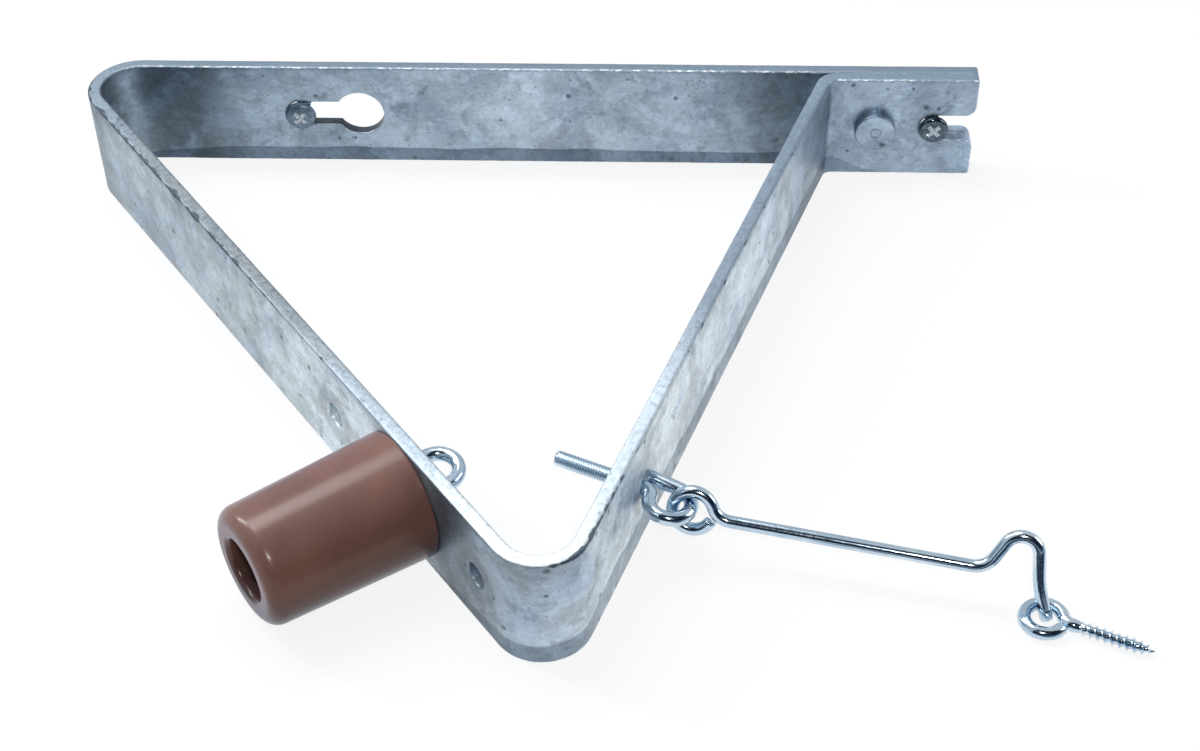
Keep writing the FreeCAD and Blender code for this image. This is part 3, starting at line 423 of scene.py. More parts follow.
# blue patches, where the skin is passivated more thickly
blue_noise = add(zinc, "TexNoise", {
    "Vector": flat_place, "Scale": per_metre(17), "Detail": 6, "Distortion": 0.4})
blue_level = add(zinc, "MapRange", [blue_noise, 0.50, 0.64, 0.0, 0.40])
blued = add(zinc, "Mix", {0: blue_level, 6: patina_and_shade_tone, 7: linear("#9fb6d0")}, out=2, data_type="RGBA")
clouded = add(zinc, "VectorMath", {0: blued, "Scale": all_shares}, operation="SCALE")
# darker smudges about 8 mm across, where flux burnt on
smudge_noise = add(zinc, "TexNoise", {
    "Vector": flat_place, "Scale": per_metre(11), "Detail": 8, "Roughness": 0.74, "Distortion": 0.3})
smudge_level = add(zinc, "MapRange", [smudge_noise, 0.575, 0.635, 0.0, 0.45])
smudged = add(zinc, "Mix", {0: smudge_level, 6: clouded, 7: linear("#64717d")}, out=2, data_type="RGBA")
# the drained band is about 6 mm high on the back strip, up to 10 mm on the right arm, and absent on the
# left arm
tide_height = add(zinc, "ValToRGB", [region], marks=[
    (0.0, 0.45), (0.30, 0.50), (0.36, 0.0), (0.60, 0.02), (0.645, 0.50), (0.675, 0.62), (0.70, 0.86),
    (0.78, 0.70), (0.90, 0.72), (0.945, 0.60), (0.957, 0.15), (0.97, 0.0)])
tide_wave = add(zinc, "TexNoise", {"Vector": drawn, "Scale": per_metre(2.6), "Detail": 3})
tide_top = add(zinc, "Math", [tide_height, 0.012, -0.0215], operation="MULTIPLY_ADD")
tide_line = add(zinc, "Math", [tide_wave, 0.003, tide_top], operation="MULTIPLY_ADD")
above_tide = add(zinc, "Math", [split["Y"], tide_line], operation="SUBTRACT")
tide_level = add(zinc, "Math", [above_tide, 400.0, 0.5], operation="MULTIPLY_ADD", use_clamp=True)
tide_share = add(zinc, "ValToRGB", [tide_level], marks=[
    (0.0, "#afb8c0"), (0.38, "#a8b1b9"), (0.50, "#d4dae0"), (0.60, 1.0)])
tide_strength = add(zinc, "ValToRGB", [region], marks=[
    (0.10, 0.9), (0.20, 1.0), (0.33, 0.8), (0.60, 0.60), (0.70, 0.85), (0.93, 0.85), (0.95, 0.5)])
tided = add(zinc, "Mix", {0: tide_strength, 6: smudged, 7: tide_share}, out=2,
            data_type="RGBA", blend_type="MULTIPLY")
# soot under the top edge of the arms, most on the upper left arm
soot_high = add(zinc, "MapRange", [split["Y"], 0.0125, 0.0175, 0.0, 0.55])
soot_patch = add(zinc, "MapRange", [smudge_noise, 0.46, 0.58, 0.0, 1.0])
soot_share = add(zinc, "ValToRGB", [region], marks=[
    (0.34, 0.0), (0.37, 1.0), (0.50, 0.8), (0.58, 0.35), (0.66, 0.3), (0.69, 0.35), (0.90, 0.2),
    (0.94, 0.2)])
for share in (soot_patch, soot_share):
    soot_high = add(zinc, "Math", [soot_high, share], operation="MULTIPLY")
sooted = add(zinc, "Mix", {0: soot_high, 6: tided, 7: linear("#6b7a87")}, out=2, data_type="RGBA")
# specks of ash up to 2 mm across with a fainter ring, and dots of half a millimetre, as (cell in mm,
# share of cells without one, smallest and largest radius in cells, tone)
specked = sooted
for cell, without, smallest, largest, tone in ((9, 0.74, 0.03, 0.115, "#4f5c68"),
                                               (3.2, 0.84, 0.04, 0.11, "#5f6c78")):
    speck = add(zinc, "TexVoronoi", {"Vector": flat_place, "Scale": per_metre(cell)},
                voronoi_dimensions="2D").node.outputs
    pick = add(zinc, "SeparateColor", [speck["Color"]], out=1)
    picked = add(zinc, "Math", [pick, without], operation="GREATER_THAN")
    reach = add(zinc, "MapRange", [pick, without, 1.0, smallest, largest])
    wobbled = add(zinc, "Math", [smudge_noise, 0.12, reach], operation="MULTIPLY_ADD")
    inside = add(zinc, "Math", [wobbled, speck["Distance"]], operation="SUBTRACT")
    for slope, start, strength in ((9.0, 0.0, 0.22), (30.0, -1.6, 0.75)):
        level = add(zinc, "Math", [inside, slope, start], operation="MULTIPLY_ADD", use_clamp=True)
        shown = add(zinc, "Math", [level, picked], operation="MULTIPLY")
        factor = add(zinc, "Math", [shown, strength], operation="MULTIPLY")
        specked = add(zinc, "Mix", {0: factor, 6: specked, 7: linear(tone)}, out=2, data_type="RGBA")
# pale narrow edges, nearly white from the lower left arm round to the right arm, and lumpy on the arms
up = add(zinc, "Math", [split["Y"]], operation="ABSOLUTE")
edge_level = add(zinc, "Math", [up, 1800.0, -35.0], operation="MULTIPLY_ADD", use_clamp=True)
edge_tone = add(zinc, "ValToRGB", [region], marks=[
    (0.0, "#7e8e9c"), (0.31, "#6f7e8a"), (0.36, "#828f9b"), (0.42, "#7d858b"), (0.52, "#7a8187"),
    (0.60, "#a3b0ba"), (0.64, "#c8d1d8"), (0.66, "#d6dee3"), (0.70, "#b7c3cc"), (0.75, "#b8c4ce"),
    (0.80, "#83919e"), (0.94, "#8294a4")])
bead_noise = add(zinc, "TexNoise", {
    "Vector": flat_place, "Scale": per_metre(1.7), "Detail": 5, "Roughness": 0.72})
bead_contrast = add(zinc, "ValToRGB", [region], marks=[
    (0.0, 0.15), (0.33, 0.25), (0.37, 0.75), (0.60, 0.6), (0.66, 0.8), (0.72, 0.5), (0.93, 0.35),
    (0.95, 0.15)])
bead_off = add(zinc, "Math", [bead_noise, 2.0, -1.0], operation="MULTIPLY_ADD")
bead_share = add(zinc, "Math", [bead_off, bead_contrast, 1.0], operation="MULTIPLY_ADD")
beaded = add(zinc, "VectorMath", {0: edge_tone, "Scale": bead_share}, operation="SCALE")
# small dark flecks of ash across the edges of the arms
fleck_noise = add(zinc, "TexNoise", {
    "Vector": flat_place, "Scale": per_metre(2.1), "Detail": 4, "Roughness": 0.65, "Distortion": 0.4})
fleck_level = add(zinc, "MapRange", [fleck_noise, 0.585, 0.65, 0.0, 0.75])
fleck_share = add(zinc, "ValToRGB", [region], marks=[
    (0.33, 0.1), (0.345, 1.0), (0.50, 0.9), (0.60, 0.35), (0.665, 0.35), (0.68, 0.8), (0.72, 0.4),
    (0.93, 0.35), (0.95, 0.1)])
flecks = add(zinc, "Math", [fleck_level, fleck_share], operation="MULTIPLY")
flecked = add(zinc, "Mix", {0: flecks, 6: beaded, 7: linear("#48545f")}, out=2, data_type="RGBA")
edged = add(zinc, "Mix", {0: edge_level, 6: specked, 7: flecked}, out=2, data_type="RGBA")
# a dark seam along the outer top corner of the arms: a soft thin line of painted shade, which also
# dulls the corner's highlight, and ragged ash on it, most at the left bend, on the upper left arm and just
# past the apex
crosswise = add(zinc, "VectorMath", [flat_place, (0.0, 1.0, 1.0)], operation="MULTIPLY")
off_seam = add(zinc, "VectorMath", [crosswise, (0.0, 0.0196, -0.00215)], out="Value", operation="DISTANCE")
on_arms = add(zinc, "ValToRGB", [region], marks=[
    (0.345, 0.0), (0.355, 0.75), (0.50, 0.60), (0.60, 0.30), (0.67, 0.35), (0.70, 0.50), (0.74, 0.42),
    (0.93, 0.40), (0.94, 0.0)])
seam_shade_level = add(zinc, "MapRange", [off_seam, 0.0002, 0.0012, 1.0, 0.0])
seam_shade_factor = add(zinc, "Math", [seam_shade_level, on_arms], operation="MULTIPLY")
seam_shaded = add(zinc, "Mix", {0: seam_shade_factor, 6: edged, 7: linear("#6f7e8a")}, out=2, data_type="RGBA")
ash_amount = add(zinc, "ValToRGB", [region], marks=[
    (0.335, 0.0), (0.35, 1.3), (0.48, 1.1), (0.51, 0.60), (0.53, 0.20), (0.66, 0.25), (0.671, 1.35),
    (0.70, 1.1), (0.715, 0.2), (0.85, 0.35), (0.92, 0.2), (0.935, 0.0)])
lengthwise = add(zinc, "VectorMath", [flat_place, (1.0, 0.0, 0.0)], operation="MULTIPLY")
ash_run = add(zinc, "TexNoise", {
    "Vector": lengthwise, "Scale": per_metre(7), "Detail": 2, "Roughness": 0.5})
ash_level = add(zinc, "Math", [ash_run, 4.6, -3.25], operation="MULTIPLY_ADD")
for pattern, weight in ((bead_noise, 1.6), (ash_amount, 0.9), (off_seam, -850.0)):
    ash_level = add(zinc, "Math", [pattern, weight, ash_level], operation="MULTIPLY_ADD")
ash_mask = add(zinc, "MapRange", [ash_level, 0.30, 0.62, 0.0, 0.85])
some_ash = add(zinc, "Math", [ash_amount, 0.01], operation="GREATER_THAN")
ash_shown = add(zinc, "Math", [ash_mask, some_ash], operation="MULTIPLY")
ashed = add(zinc, "Mix", {0: ash_shown, 6: seam_shaded, 7: linear("#36414c")}, out=2, data_type="RGBA")
# bright dashes on the lips of the back strip, the keyhole and the tab: painted glints where beads of zinc
# catch the light
lip_glint = add(zinc, "ValToRGB", [rim], marks=[(0.2, 0.0), (0.45, 1.0), (0.92, 1.0), (0.98, 0.0)])
dash_place = add(zinc, "Mapping", {"Vector": flat_place, "Scale": (0.4, 1.0, 1.0)})
dash_noise = add(zinc, "TexNoise", {
    "Vector": dash_place, "Scale": per_metre(0.8), "Detail": 4, "Roughness": 0.8})
dash_level = add(zinc, "MapRange", [dash_noise, 0.505, 0.575, 0.0, 0.85])
on_back = add(zinc, "ValToRGB", [region], marks=[
    (0.06, 0.0), (0.065, 1.0), (0.32, 0.8), (0.345, 0.0), (0.935, 0.0), (0.945, 1.0)])
for share in (dash_level, on_back):
    lip_glint = add(zinc, "Math", [lip_glint, share], operation="MULTIPLY")
lip_glinted = add(zinc, "Mix", {0: lip_glint, 6: ashed, 7: linear("#f2f6f9")}, out=2, data_type="RGBA")
# painted shade: the keyhole's wall is darkened
wall = add(zinc, "MapRange", [rim, 0.85, 0.98, 0.0, 0.88])
in_hole = add(zinc, "Math", [up, -2000.0, 38.0], operation="MULTIPLY_ADD", use_clamp=True)
by_keyhole = add(zinc, "ValToRGB", [region], marks=[(0.20, 0.0), (0.22, 1.0), (0.29, 1.0), (0.31, 0.0)])
for share in (in_hole, by_keyhole):
    wall = add(zinc, "Math", [wall, share], operation="MULTIPLY")
keyhole_shaded = add(zinc, "Mix", {0: wall, 6: lip_glinted, 7: linear("#1b242c")}, out=2, data_type="RGBA")
# marks of the riveting tool, and painted shade on the rivet's side, on the rivet only
tool_mark_and_shade = add(zinc, "Attribute", {}, out="Fac", attribute_name="tool_mark_and_shade")
marked = add(zinc, "Mix", {0: tool_mark_and_shade, 6: keyhole_shaded, 7: linear("#3f4c55")}, out=2, data_type="RGBA")
pit_noise = add(zinc, "TexNoise", {
    "Vector": flat_place, "Scale": per_metre(1.1), "Detail": 4, "Roughness": 0.75})
worn = add(zinc, "MapRange", [pit_noise, 0.26, 0.42, 0.55, 1.0])
# a worn ring where a washer or nut has sat round each bolt hole
for along in ARM_HOLES.values():
    away = add(zinc, "VectorMath", [flat_place, (along * MM, 0.0, 0.0)], out="Value", operation="DISTANCE")
    round_it = add(zinc, "Math", [away, 0.0076], operation="SUBTRACT")
    ring_off = add(zinc, "Math", [round_it], operation="ABSOLUTE")
    ring_share = add(zinc, "MapRange", [ring_off, 0.0014, 0.0036, 0.74, 1.0])
    worn = add(zinc, "Math", [worn, ring_share], operation="MULTIPLY")
zinc_tone = add(zinc, "VectorMath", {0: marked, "Scale": worn}, operation="SCALE")
zinc_rough = add(zinc, "MapRange", [clouds[0], 0.3, 0.7, 0.50, 0.36])
zinc_grain = add(zinc, "Math", [streak, 0.6, pit_noise], operation="MULTIPLY_ADD")
feed(zinc_shader, {
    "Base Color": zinc_tone,
    "Roughness": add(zinc, "Math", [edge_level, 0.12, zinc_rough], operation="MULTIPLY_ADD"),
    "Normal": add(zinc, "Bump", {"Height": zinc_grain, "Distance": 0.0001, "Strength": 0.45}),
    "Metallic": 0.85})
bar.data.materials.append(zinc)


# Lap rivet. A 14 mm flat-headed steel rivet that holds the doubled right end together, galvanised
# with the bar. The riveting tool left a small ring at its middle, and a slip left a dent at its edge.
RIVET_X = RIGHT_END - RIVET_FROM_END
RIVET_FACE = 12.7
RIVET_RADIUS = 7.15
RIVET_ON_BAR = 860.0
rivet_profile = [(0.0, 0.0), (0.0, 4.6), (0.3, 4.95), (9.0, 4.95), (9.1, 7.0)]
rivet_profile += [(9.1 + 3.0 * step / 4, RIVET_RADIUS) for step in range(5)]
rivet_profile += [(12.1 + 0.6 * math.sin(math.radians(angle)), 6.55 + 0.6 * math.cos(math.radians(angle)))
                  for angle in (30, 60, 90)]
rivet_profile += [(RIVET_FACE, 6.4 * (1 - step / 26)) for step in range(1, 26)] + [(RIVET_FACE, 0.0)]


def ring_faces(bands, count, first=0):
    """Faces of the bands between rings of points, counted from a first point."""
    return [[first + row * count + step, first + row * count + (step + 1) % count,
             first + (row + 1) * count + (step + 1) % count, first + (row + 1) * count + step]
            for row in range(bands) for step in range(count)]


def turned(profile, count, place):
    """Rings of a turned form; place gives the point at (along the axis, radius, angle)."""
    places = [place(along, radius, math.tau * step / count)
              for along, radius in profile for step in range(count)]
    return places, ring_faces(len(profile) - 1, count)


def off_slip(x, z, slip_z):
    """A point of the rivet's face seen from the middle of the dent, along it and across it."""
    return (Vector((x, z)) - Vector((3.0, slip_z))) @ Matrix.Rotation(math.radians(-25), 2)


def on_rivet(depth, radius, angle):
    """A point of the rivet, whose head is slightly lumpy and marked by the tool."""
    x, z = radius * math.cos(angle), radius * math.sin(angle)
    out = 0.0
    if depth > 9.5:
        here = Vector((x, z, depth))
        out = 0.06 * noise.noise(here / 3.0) + 0.04 * noise.noise(here / 1.1)
        ring = math.exp(-((math.hypot(x - 0.2, z) - 1.75) / 0.28) ** 2)
        hollow = math.exp(-(math.hypot(x - 0.2, z) / 1.1) ** 2)
        slip = off_slip(x, z, -5.3)
        dent = math.exp(-(slip.x / 1.3) ** 2 - (slip.y / 0.55) ** 2)
        face = max(0.0, min(1.0, (depth - 12.3) / 0.4))
        out -= face * (0.22 * ring + 0.10 * hollow + 0.6 * dent)
        radius *= 1 + 0.006 * noise.noise(Vector((math.cos(angle), math.sin(angle), 3)) * 2)
        x, z = radius * math.cos(angle), radius * math.sin(angle)
    return Vector((RIVET_X + x, -depth - out, z)) * MM


def rivet_mark_and_shade(place):
    """How dark a point of the rivet is: the tool's ring, the dent, and painted shade on the side under the
    head's rim, darkest on its upper side.
    """
    x, z = place.x / MM - RIVET_X, place.z / MM
    if math.hypot(x, z) > 6.7:
        return 0.5 * max(0.0, min(1.0, (-place.y / MM - 9.0) / 0.3)) * (0.6 + 0.4 * math.tanh(z / 2))
    slip = off_slip(x, z, -5.0)
    ring = 0.38 * math.exp(-((math.hypot(x - 0.2, z) - 1.75) / 0.26) ** 2)
    return max(ring, 0.95 * math.exp(-(slip.x / 2.0) ** 2 - (slip.y / 0.75) ** 2))


rivet_places, rivet_faces = turned(rivet_profile, 96, on_rivet)
# its zinc has the pattern of the tab round it
rivet_flats = [((RIVET_ON_BAR - RIVET_X) * MM + place.x, place.z, -0.0022) for place in rivet_places]
rivet = new_piece("zinc_coated_rivet", rivet_places, rivet_faces, "bracket", rivet_flats,
                  ("tool_mark_and_shade", [rivet_mark_and_shade(place) for place in rivet_places]), sharp_from=50)
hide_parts("lap_rivet")
rivet.data.materials.append(zinc)


# Wall screws. Pan-headed steel wood screws with a cross recess, cold headed and then plated: the left
# one in pale zinc that has gone dull, the right one in a dark, still glossy finish.
SCREW_X = 112.5
LEFT_HEAD, RIGHT_HEAD = 2.6, 2.4
TAB_GAP = 0.1
SCREW_LENGTH = 25.0
SCREW_POINT = 7.0
SCREW_CREST = 2.5
SCREW_ROOT = 1.7
SCREW_PITCH = 2.2
SCREW_SIDES = 32
RECESS_REACH = 2.75
WOOD_THREAD = [0, 0, 0, 0, 0.1, 0.6, 1, 0.45]


def pan_profile(height, radius, rounding):
    """Half section of a pan head, from the middle of its slightly domed top to its underside."""
    rise = 0.22
    dome = [(-height + rise * (step / 6) ** 2, (radius - rounding) * step / 6) for step in range(7)]
    corner_low = -height + rise + rounding * 0.85
    corner = [(corner_low - rounding * 0.85 * math.cos(math.radians(angle)),
               radius - rounding + rounding * math.sin(math.radians(angle))) for angle in range(15, 91, 15)]
    return dome + corner + [(-0.35, radius), (-0.1, radius - 0.1), (0.0, radius - 0.35), (0.0, 0.0)]


def low_dome_profile(height, radius, wall):
    """Half section of a head that is a low dome above a short straight wall."""
    dome = [(-wall - (height - wall) * (1 - (step / 14) ** 2.3) ** 0.55, radius * step / 14)
            for step in range(15)]
    return dome + [(-0.3, radius), (0.0, radius - 0.3), (0.0, 0.0)]


def helix_rows(start, end, pitch, shape, count):
    """Rows of (place along, step round, share of the thread's height) that climb as a screw thread."""
    rows = []
    for row in range(math.ceil(len(shape) * ((end - start) / pitch + 2)) + 1):
        line = []
        for step in range(count):
            along = start + pitch * (row / len(shape) + step / count - 1)
            inside = start < along < end
            line.append((min(max(along, start), end), step, shape[row % len(shape)] if inside else 0.0))
        rows.append(line)
    return rows


def helix_faces(rows, shape, count, first):
    """Faces between climbing rows; one turn on, a row meets the row one pitch further along."""
    faces = []
    for row in range(len(rows) - 1):
        for step in range(count):
            lift = 0 if step + 1 < count else len(shape)
            upper, lower = min(row + lift, len(rows) - 1), min(row + 1 + lift, len(rows) - 1)
            after = (step + 1) % count
            faces.append([first + row * count + step, first + upper * count + after,
                          first + lower * count + after, first + (row + 1) * count + step])
    return faces


def cross_cutter(height):
    """Points (along, across, up) and faces of the tapered cross that cuts the driver recess. Its arms
    stand on the diagonals."""
    # levels of the cross, as (place along the screw, half span, half width of a wing)
    levels = [(-height - 0.6, 3.2, 0.95), (-height + 0.3, 2.6, 0.68), (-height + 1.6, 1.1, 0.36)]
    places = []
    for along, span, wing in levels:
        for quarter in range(4):
            for corner in ((span, wing), (wing, wing), (wing, span)):
                spot = Matrix.Rotation(math.radians(90 * quarter + 45), 2) @ Vector(corner)
                places.append((along, spot.x, spot.y))
    faces = ring_faces(2, 12) + [[24 + step, 24 + (step + 1) % 12, 36] for step in range(12)]
    return places + [(-height + 2.1, 0, 0)], faces + [list(range(11, -1, -1))]


def shank_radius(along, share):
    """Core of the shank under its thread, tapered to the point, and its unthreaded root in the head."""
    if share < 0:
        return SCREW_CREST * 0.92
    taper = min(1.0, (SCREW_LENGTH - along) / SCREW_POINT)
    root = SCREW_ROOT * (1 - (1 - max(taper, 0.0)) ** 1.6) + 0.05
    return root + (SCREW_CREST - SCREW_ROOT) * min(1.0, 2.2 * taper) * share


def wall_screw(name, x, y, height, profile):
    """One screw: head with its recess, and a threaded shank that reaches into the wall."""
    def on_screw(along, reach, angle):
        return Vector((x + reach * math.cos(angle), y + along, reach * math.sin(angle))) * MM

    head = in_scene("head", clean_mesh("head", *turned(profile, 64, on_screw), 2e-6))
    cross, cross_faces = cross_cutter(height)
    cross = [Vector((x + across, y + along, up)) * MM for along, across, up in cross]
    cutter = in_scene("cutter", clean_mesh("cutter", cross, cross_faces, 2e-6))
    cut = head.modifiers.new("recess", "BOOLEAN")
    cut.object, cut.operation, cut.solver = cutter, "DIFFERENCE", "EXACT"
    mesh = bpy.data.meshes.new_from_object(head.evaluated_get(bpy.context.evaluated_depsgraph_get()))
    bpy.data.objects.remove(head)
    bpy.data.objects.remove(cutter)
    rows = [[(along, step, -1.0) for step in range(SCREW_SIDES)] for along in (-0.4, 0.0)]
    rows += helix_rows(0.8, SCREW_LENGTH, SCREW_PITCH, WOOD_THREAD, SCREW_SIDES)
    places = [on_screw(along, shank_radius(along, share), math.tau * step / SCREW_SIDES)
              for row in rows for along, step, share in row]
    faces = ring_faces(2, SCREW_SIDES) + helix_faces(rows[2:], WOOD_THREAD, SCREW_SIDES, 2 * SCREW_SIDES)
    faces += [list(range(SCREW_SIDES)), list(range(len(places) - SCREW_SIDES, len(places)))]
    work = bmesh.new()
    work.from_mesh(mesh)
    work.from_mesh(clean_mesh("shank", places, faces, 2e-6))
    work.to_mesh(mesh)
    work.free()
    mesh.shade_smooth()
    mesh.set_sharp_from_angle(angle=math.radians(38))
    mesh.materials.clear()
    # the faces of the recess, which lie on the diagonals, take the second material
    for face in mesh.polygons:
        depth = face.center.y / MM - y
        across, up = face.center.x / MM - x, face.center.z / MM
        sunk = depth > -height + 0.6 or abs(face.normal.y) < 0.93
        if sunk and depth < -0.1 and math.hypot(across, up) < RECESS_REACH and abs(across ** 2 - up ** 2) < 5:
            face.material_index = 1
    piece = in_scene(name, mesh)
    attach(piece, "bracket")
    return piece


left_screw = wall_screw("pale_pan_head_screw", -SCREW_X, -BAR_THICK, LEFT_HEAD,
                        low_dome_profile(LEFT_HEAD, 5.5, 0.7))
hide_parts("left_wall_screw")
right_screw = wall_screw("dark_pan_head_screw", SCREW_X, -2 * BAR_THICK - TAB_GAP, RIGHT_HEAD,
                         pan_profile(RIGHT_HEAD, 5.15, 1.3))
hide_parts("right_wall_screw")

# Dull zinc plating on cold-headed steel: blue-grey and smooth, with a fine tumbled grain.
dull_plate, dull_shader = new_material("dull_zinc_plating")
where = add(dull_plate, "TexCoord", {}, out="Object")
dull_noise = add(dull_plate, "TexNoise", {
    "Vector": where, "Scale": per_metre(1.6), "Detail": 5, "Roughness": 0.65})
feed(dull_shader, {
    "Base Color": add(dull_plate, "ValToRGB", [dull_noise], marks=[
        (0.30, "#586979"), (0.50, "#6b7d8c"), (0.70, "#8698a6")]),
    "Roughness": add(dull_plate, "MapRange", [dull_noise, 0.3, 0.7, 0.36, 0.50]),
    "Normal": add(dull_plate, "Bump", {"Height": dull_noise, "Distance": 0.00006, "Strength": 0.5}),
    "Metallic": 1.0})
left_screw.data.materials.append(dull_plate)

# Dark plating on the right screw: nearly black between its bright reflections.
dark_plate, dark_shader = new_material("dark_glossy_plating")
where = add(dark_plate, "TexCoord", {}, out="Object")
dark_noise = add(dark_plate, "TexNoise", {
    "Vector": where, "Scale": per_metre(2.0), "Detail": 4, "Roughness": 0.6})
feed(dark_shader, {
    "Base Color": add(dark_plate, "ValToRGB", [dark_noise], marks=[
        (0.32, "#3a444e"), (0.55, "#55626e"), (0.72, "#7b8995")]),
    "Roughness": add(dark_plate, "MapRange", [dark_noise, 0.3, 0.7, 0.12, 0.24]),
    "Metallic": 1.0})
right_screw.data.materials.append(dark_plate)

# Steel worn by the driver inside both recesses, with painted reflections: pale and scraped, nearly white in
# places.
recess_glint_steel, recess_glint_shader = new_material("driver_worn_steel_with_glints")
where = add(recess_glint_steel, "TexCoord", {}, out="Object")
scrape_and_glint = add(recess_glint_steel, "TexNoise", {
    "Vector": where, "Scale": per_metre(0.7), "Detail": 4, "Roughness": 0.7})
feed(recess_glint_shader, {
    "Base Color": add(recess_glint_steel, "ValToRGB", [scrape_and_glint], marks=[
        (0.34, "#9fb0bd"), (0.46, "#e2eaf0"), (0.60, "#fbfcfd")]),
    "Metallic": 0.5, "Roughness": 0.22})
for screw in (left_screw, right_screw):
    screw.data.materials.append(recess_glint_steel)


# Buffer. Brown rubber moulded in one piece round a threaded steel bush, which doesn't show. The door
# meets its rounded nose. The mould was smooth, so it has a soft gloss and a faint mottle.
rubber, rubber_shader = new_material("moulded_brown_rubber")
where = add(rubber, "TexCoord", {}, out="Object")
mottle = add(rubber, "TexNoise", {"Vector": where, "Scale": per_metre(22), "Detail": 3, "Roughness": 0.5})
mottle_tone = add(rubber, "ValToRGB", [mottle], marks=[
    (0.30, "#593b30"), (0.50, "#614136"), (0.70, "#69483c")])
grain = add(rubber, "TexNoise", {"Vector": where, "Scale": per_metre(0.9), "Detail": 4, "Roughness": 0.7})
grain_tone = add(rubber, "ValToRGB", [grain], marks=[(0.30, 0.93), (0.45, 0.985), (0.60, 1.0)])
rubber_tone = add(rubber, "Mix", {0: 0.6, 6: mottle_tone, 7: grain_tone}, out=2,
                  data_type="RGBA", blend_type="MULTIPLY")
# painted shade and light: its underside is darkened and cooled towards the bottom, and a faint pale film
# of painted light lies on its upper side
rubber_up = add(rubber, "SeparateXYZ", [where], out="Z")
for start, end, most, tone in ((0.004, -0.015, 0.95, "#291f25"), (0.006, 0.018, 0.06, "#aaa2ab")):
    level = add(rubber, "MapRange", [rubber_up, start, end, 0.0, most])
    rubber_tone = add(rubber, "Mix", {0: level, 6: rubber_tone, 7: linear(tone)}, out=2, data_type="RGBA")
feed(rubber_shader, {
    "Base Color": rubber_tone,
    "Roughness": add(rubber, "MapRange", [grain, 0.3, 0.7, 0.22, 0.28]),
    "Normal": add(rubber, "Bump", {"Height": grain, "Distance": 0.00002, "Strength": 0.3}),
    "Specular IOR Level": 0.27, "Sheen Weight": 0.14, "Sheen Roughness": 0.35,
    "Sheen Tint": linear("#aab6ff")})
nodes["rubber_buffer"].material_slots[0].material = rubber

# Free-cutting steel of the bush, turned and left bare: an even grey with faint marks of the tool.
bush_steel, bush_shader = new_material("turned_steel")
where = add(bush_steel, "TexCoord", {}, out="Object")
tool_marks = add(bush_steel, "TexNoise", {"Vector": where, "Scale": per_metre(1.2), "Detail": 3})
feed(bush_shader, {
    "Base Color": add(bush_steel, "ValToRGB", [tool_marks], marks=[(0.35, "#8b8f93"), (0.65, "#aeb2b5")]),
    "Metallic": 1.0, "Roughness": 0.35})
nodes["buffer_bush"].material_slots[0].material = bush_steel


# Eye bolts. 4.4 mm steel wire bent cold into an eye, with a rolled M5 thread, and zinc plated. One holds
# the buffer, the other is loose in its hole in the right arm and carries the hook.
WIRE_SIDES = 28
BOLT_RING = 6.2
BOLT_OFFSET = 2.4
BOLT_WIRE = 4.4
BOLT_THREAD = 5.0
BOLT_SHANK = 27.5
BOLT_NECK = 3.0
BOLT_TAIL = 9.6
BOLT_PITCH = 0.8
# from the ring's middle to the arm's face, which the ring all but touches
BOLT_STAND_OFF = BOLT_RING + BOLT_WIRE / 2 + 0.3
THREAD_FROM_NECK = 2.2
THREAD_RUN_OUT = 1.2
METRIC_THREAD = [0, 0.5, 1, 0.5]


def bent_eye(ring, neck, offset, wire, tail=0.0, gap=None):
    """Middle line of an eye from its cut end round to its shank, as (point, heading), and its reach.
    With a tail, the free end leaves the ring early and runs straight back beside the shank."""
    reach = math.sqrt((ring + neck) ** 2 - (neck - offset) ** 2)
    tangent = math.atan2(neck - offset, reach)
    gap = gap or neck + wire + 0.25
    share = ((ring + neck) ** 2 + ring ** 2 - gap ** 2) / (2 * (ring + neck) * ring)
    cut_end = math.radians(264) if tail else math.tau + tangent - math.acos(share)
    line = []
    if tail:
        way = Vector((math.sin(cut_end), -math.cos(cut_end)))
        left_at = Vector((math.cos(cut_end), math.sin(cut_end))) * ring
        line = [(left_at - way * tail * (1 - step / 8), way) for step in range(8)]
    for step in range(73):
        angle = cut_end + (tangent - cut_end) * step / 72
        line.append((Vector((math.cos(angle), math.sin(angle))) * ring,
                     Vector((math.sin(angle), -math.cos(angle)))))
    middle = Vector((reach, neck - offset))
    for step in range(1, 17):
        angle = math.pi + tangent + (math.pi / 2 - tangent) * step / 16
        line.append((middle + Vector((math.cos(angle), math.sin(angle))) * neck,
                     Vector((-math.sin(angle), math.cos(angle)))))
    return line, reach


def wire_axes(roll, pitch, heading):
    """Axes of a wire's own frame, turned by degrees: its shank runs along X and its ring lies in XY."""
    return Euler([math.radians(angle) for angle in (roll, pitch, heading)]).to_matrix()


def swept_wire(line, wire, centre, axes, closed=False):
    """Points and faces of a wire round its middle line, from its cut end on, with its eye at a centre."""
    cut_shape = ((0.0, 0.0), (0.0, 0.80), (0.12, 0.93), (0.4, 1.0))
    (first, first_way), (last, last_way) = line[0], line[-1]
    rings = [(first + first_way * setback, first_way, share) for setback, share in cut_shape]
    rings += [(point, heading, 1.0) for point, heading in (line[2:-1] if closed else line[2:])]
    if closed:
        rings += [(last - last_way * setback, last_way, share) for setback, share in reversed(cut_shape)]
    places = []
    for point, heading, share in rings:
        for step in range(WIRE_SIDES):
            angle = math.tau * step / WIRE_SIDES
            flat = point + Vector((-heading.y, heading.x)) * (wire / 2 * share * math.cos(angle))
            spot = Vector((flat.x, flat.y, wire / 2 * share * math.sin(angle)))
            places.append((centre + axes @ spot) * MM)
    return places, ring_faces(len(rings) - 1, WIRE_SIDES)


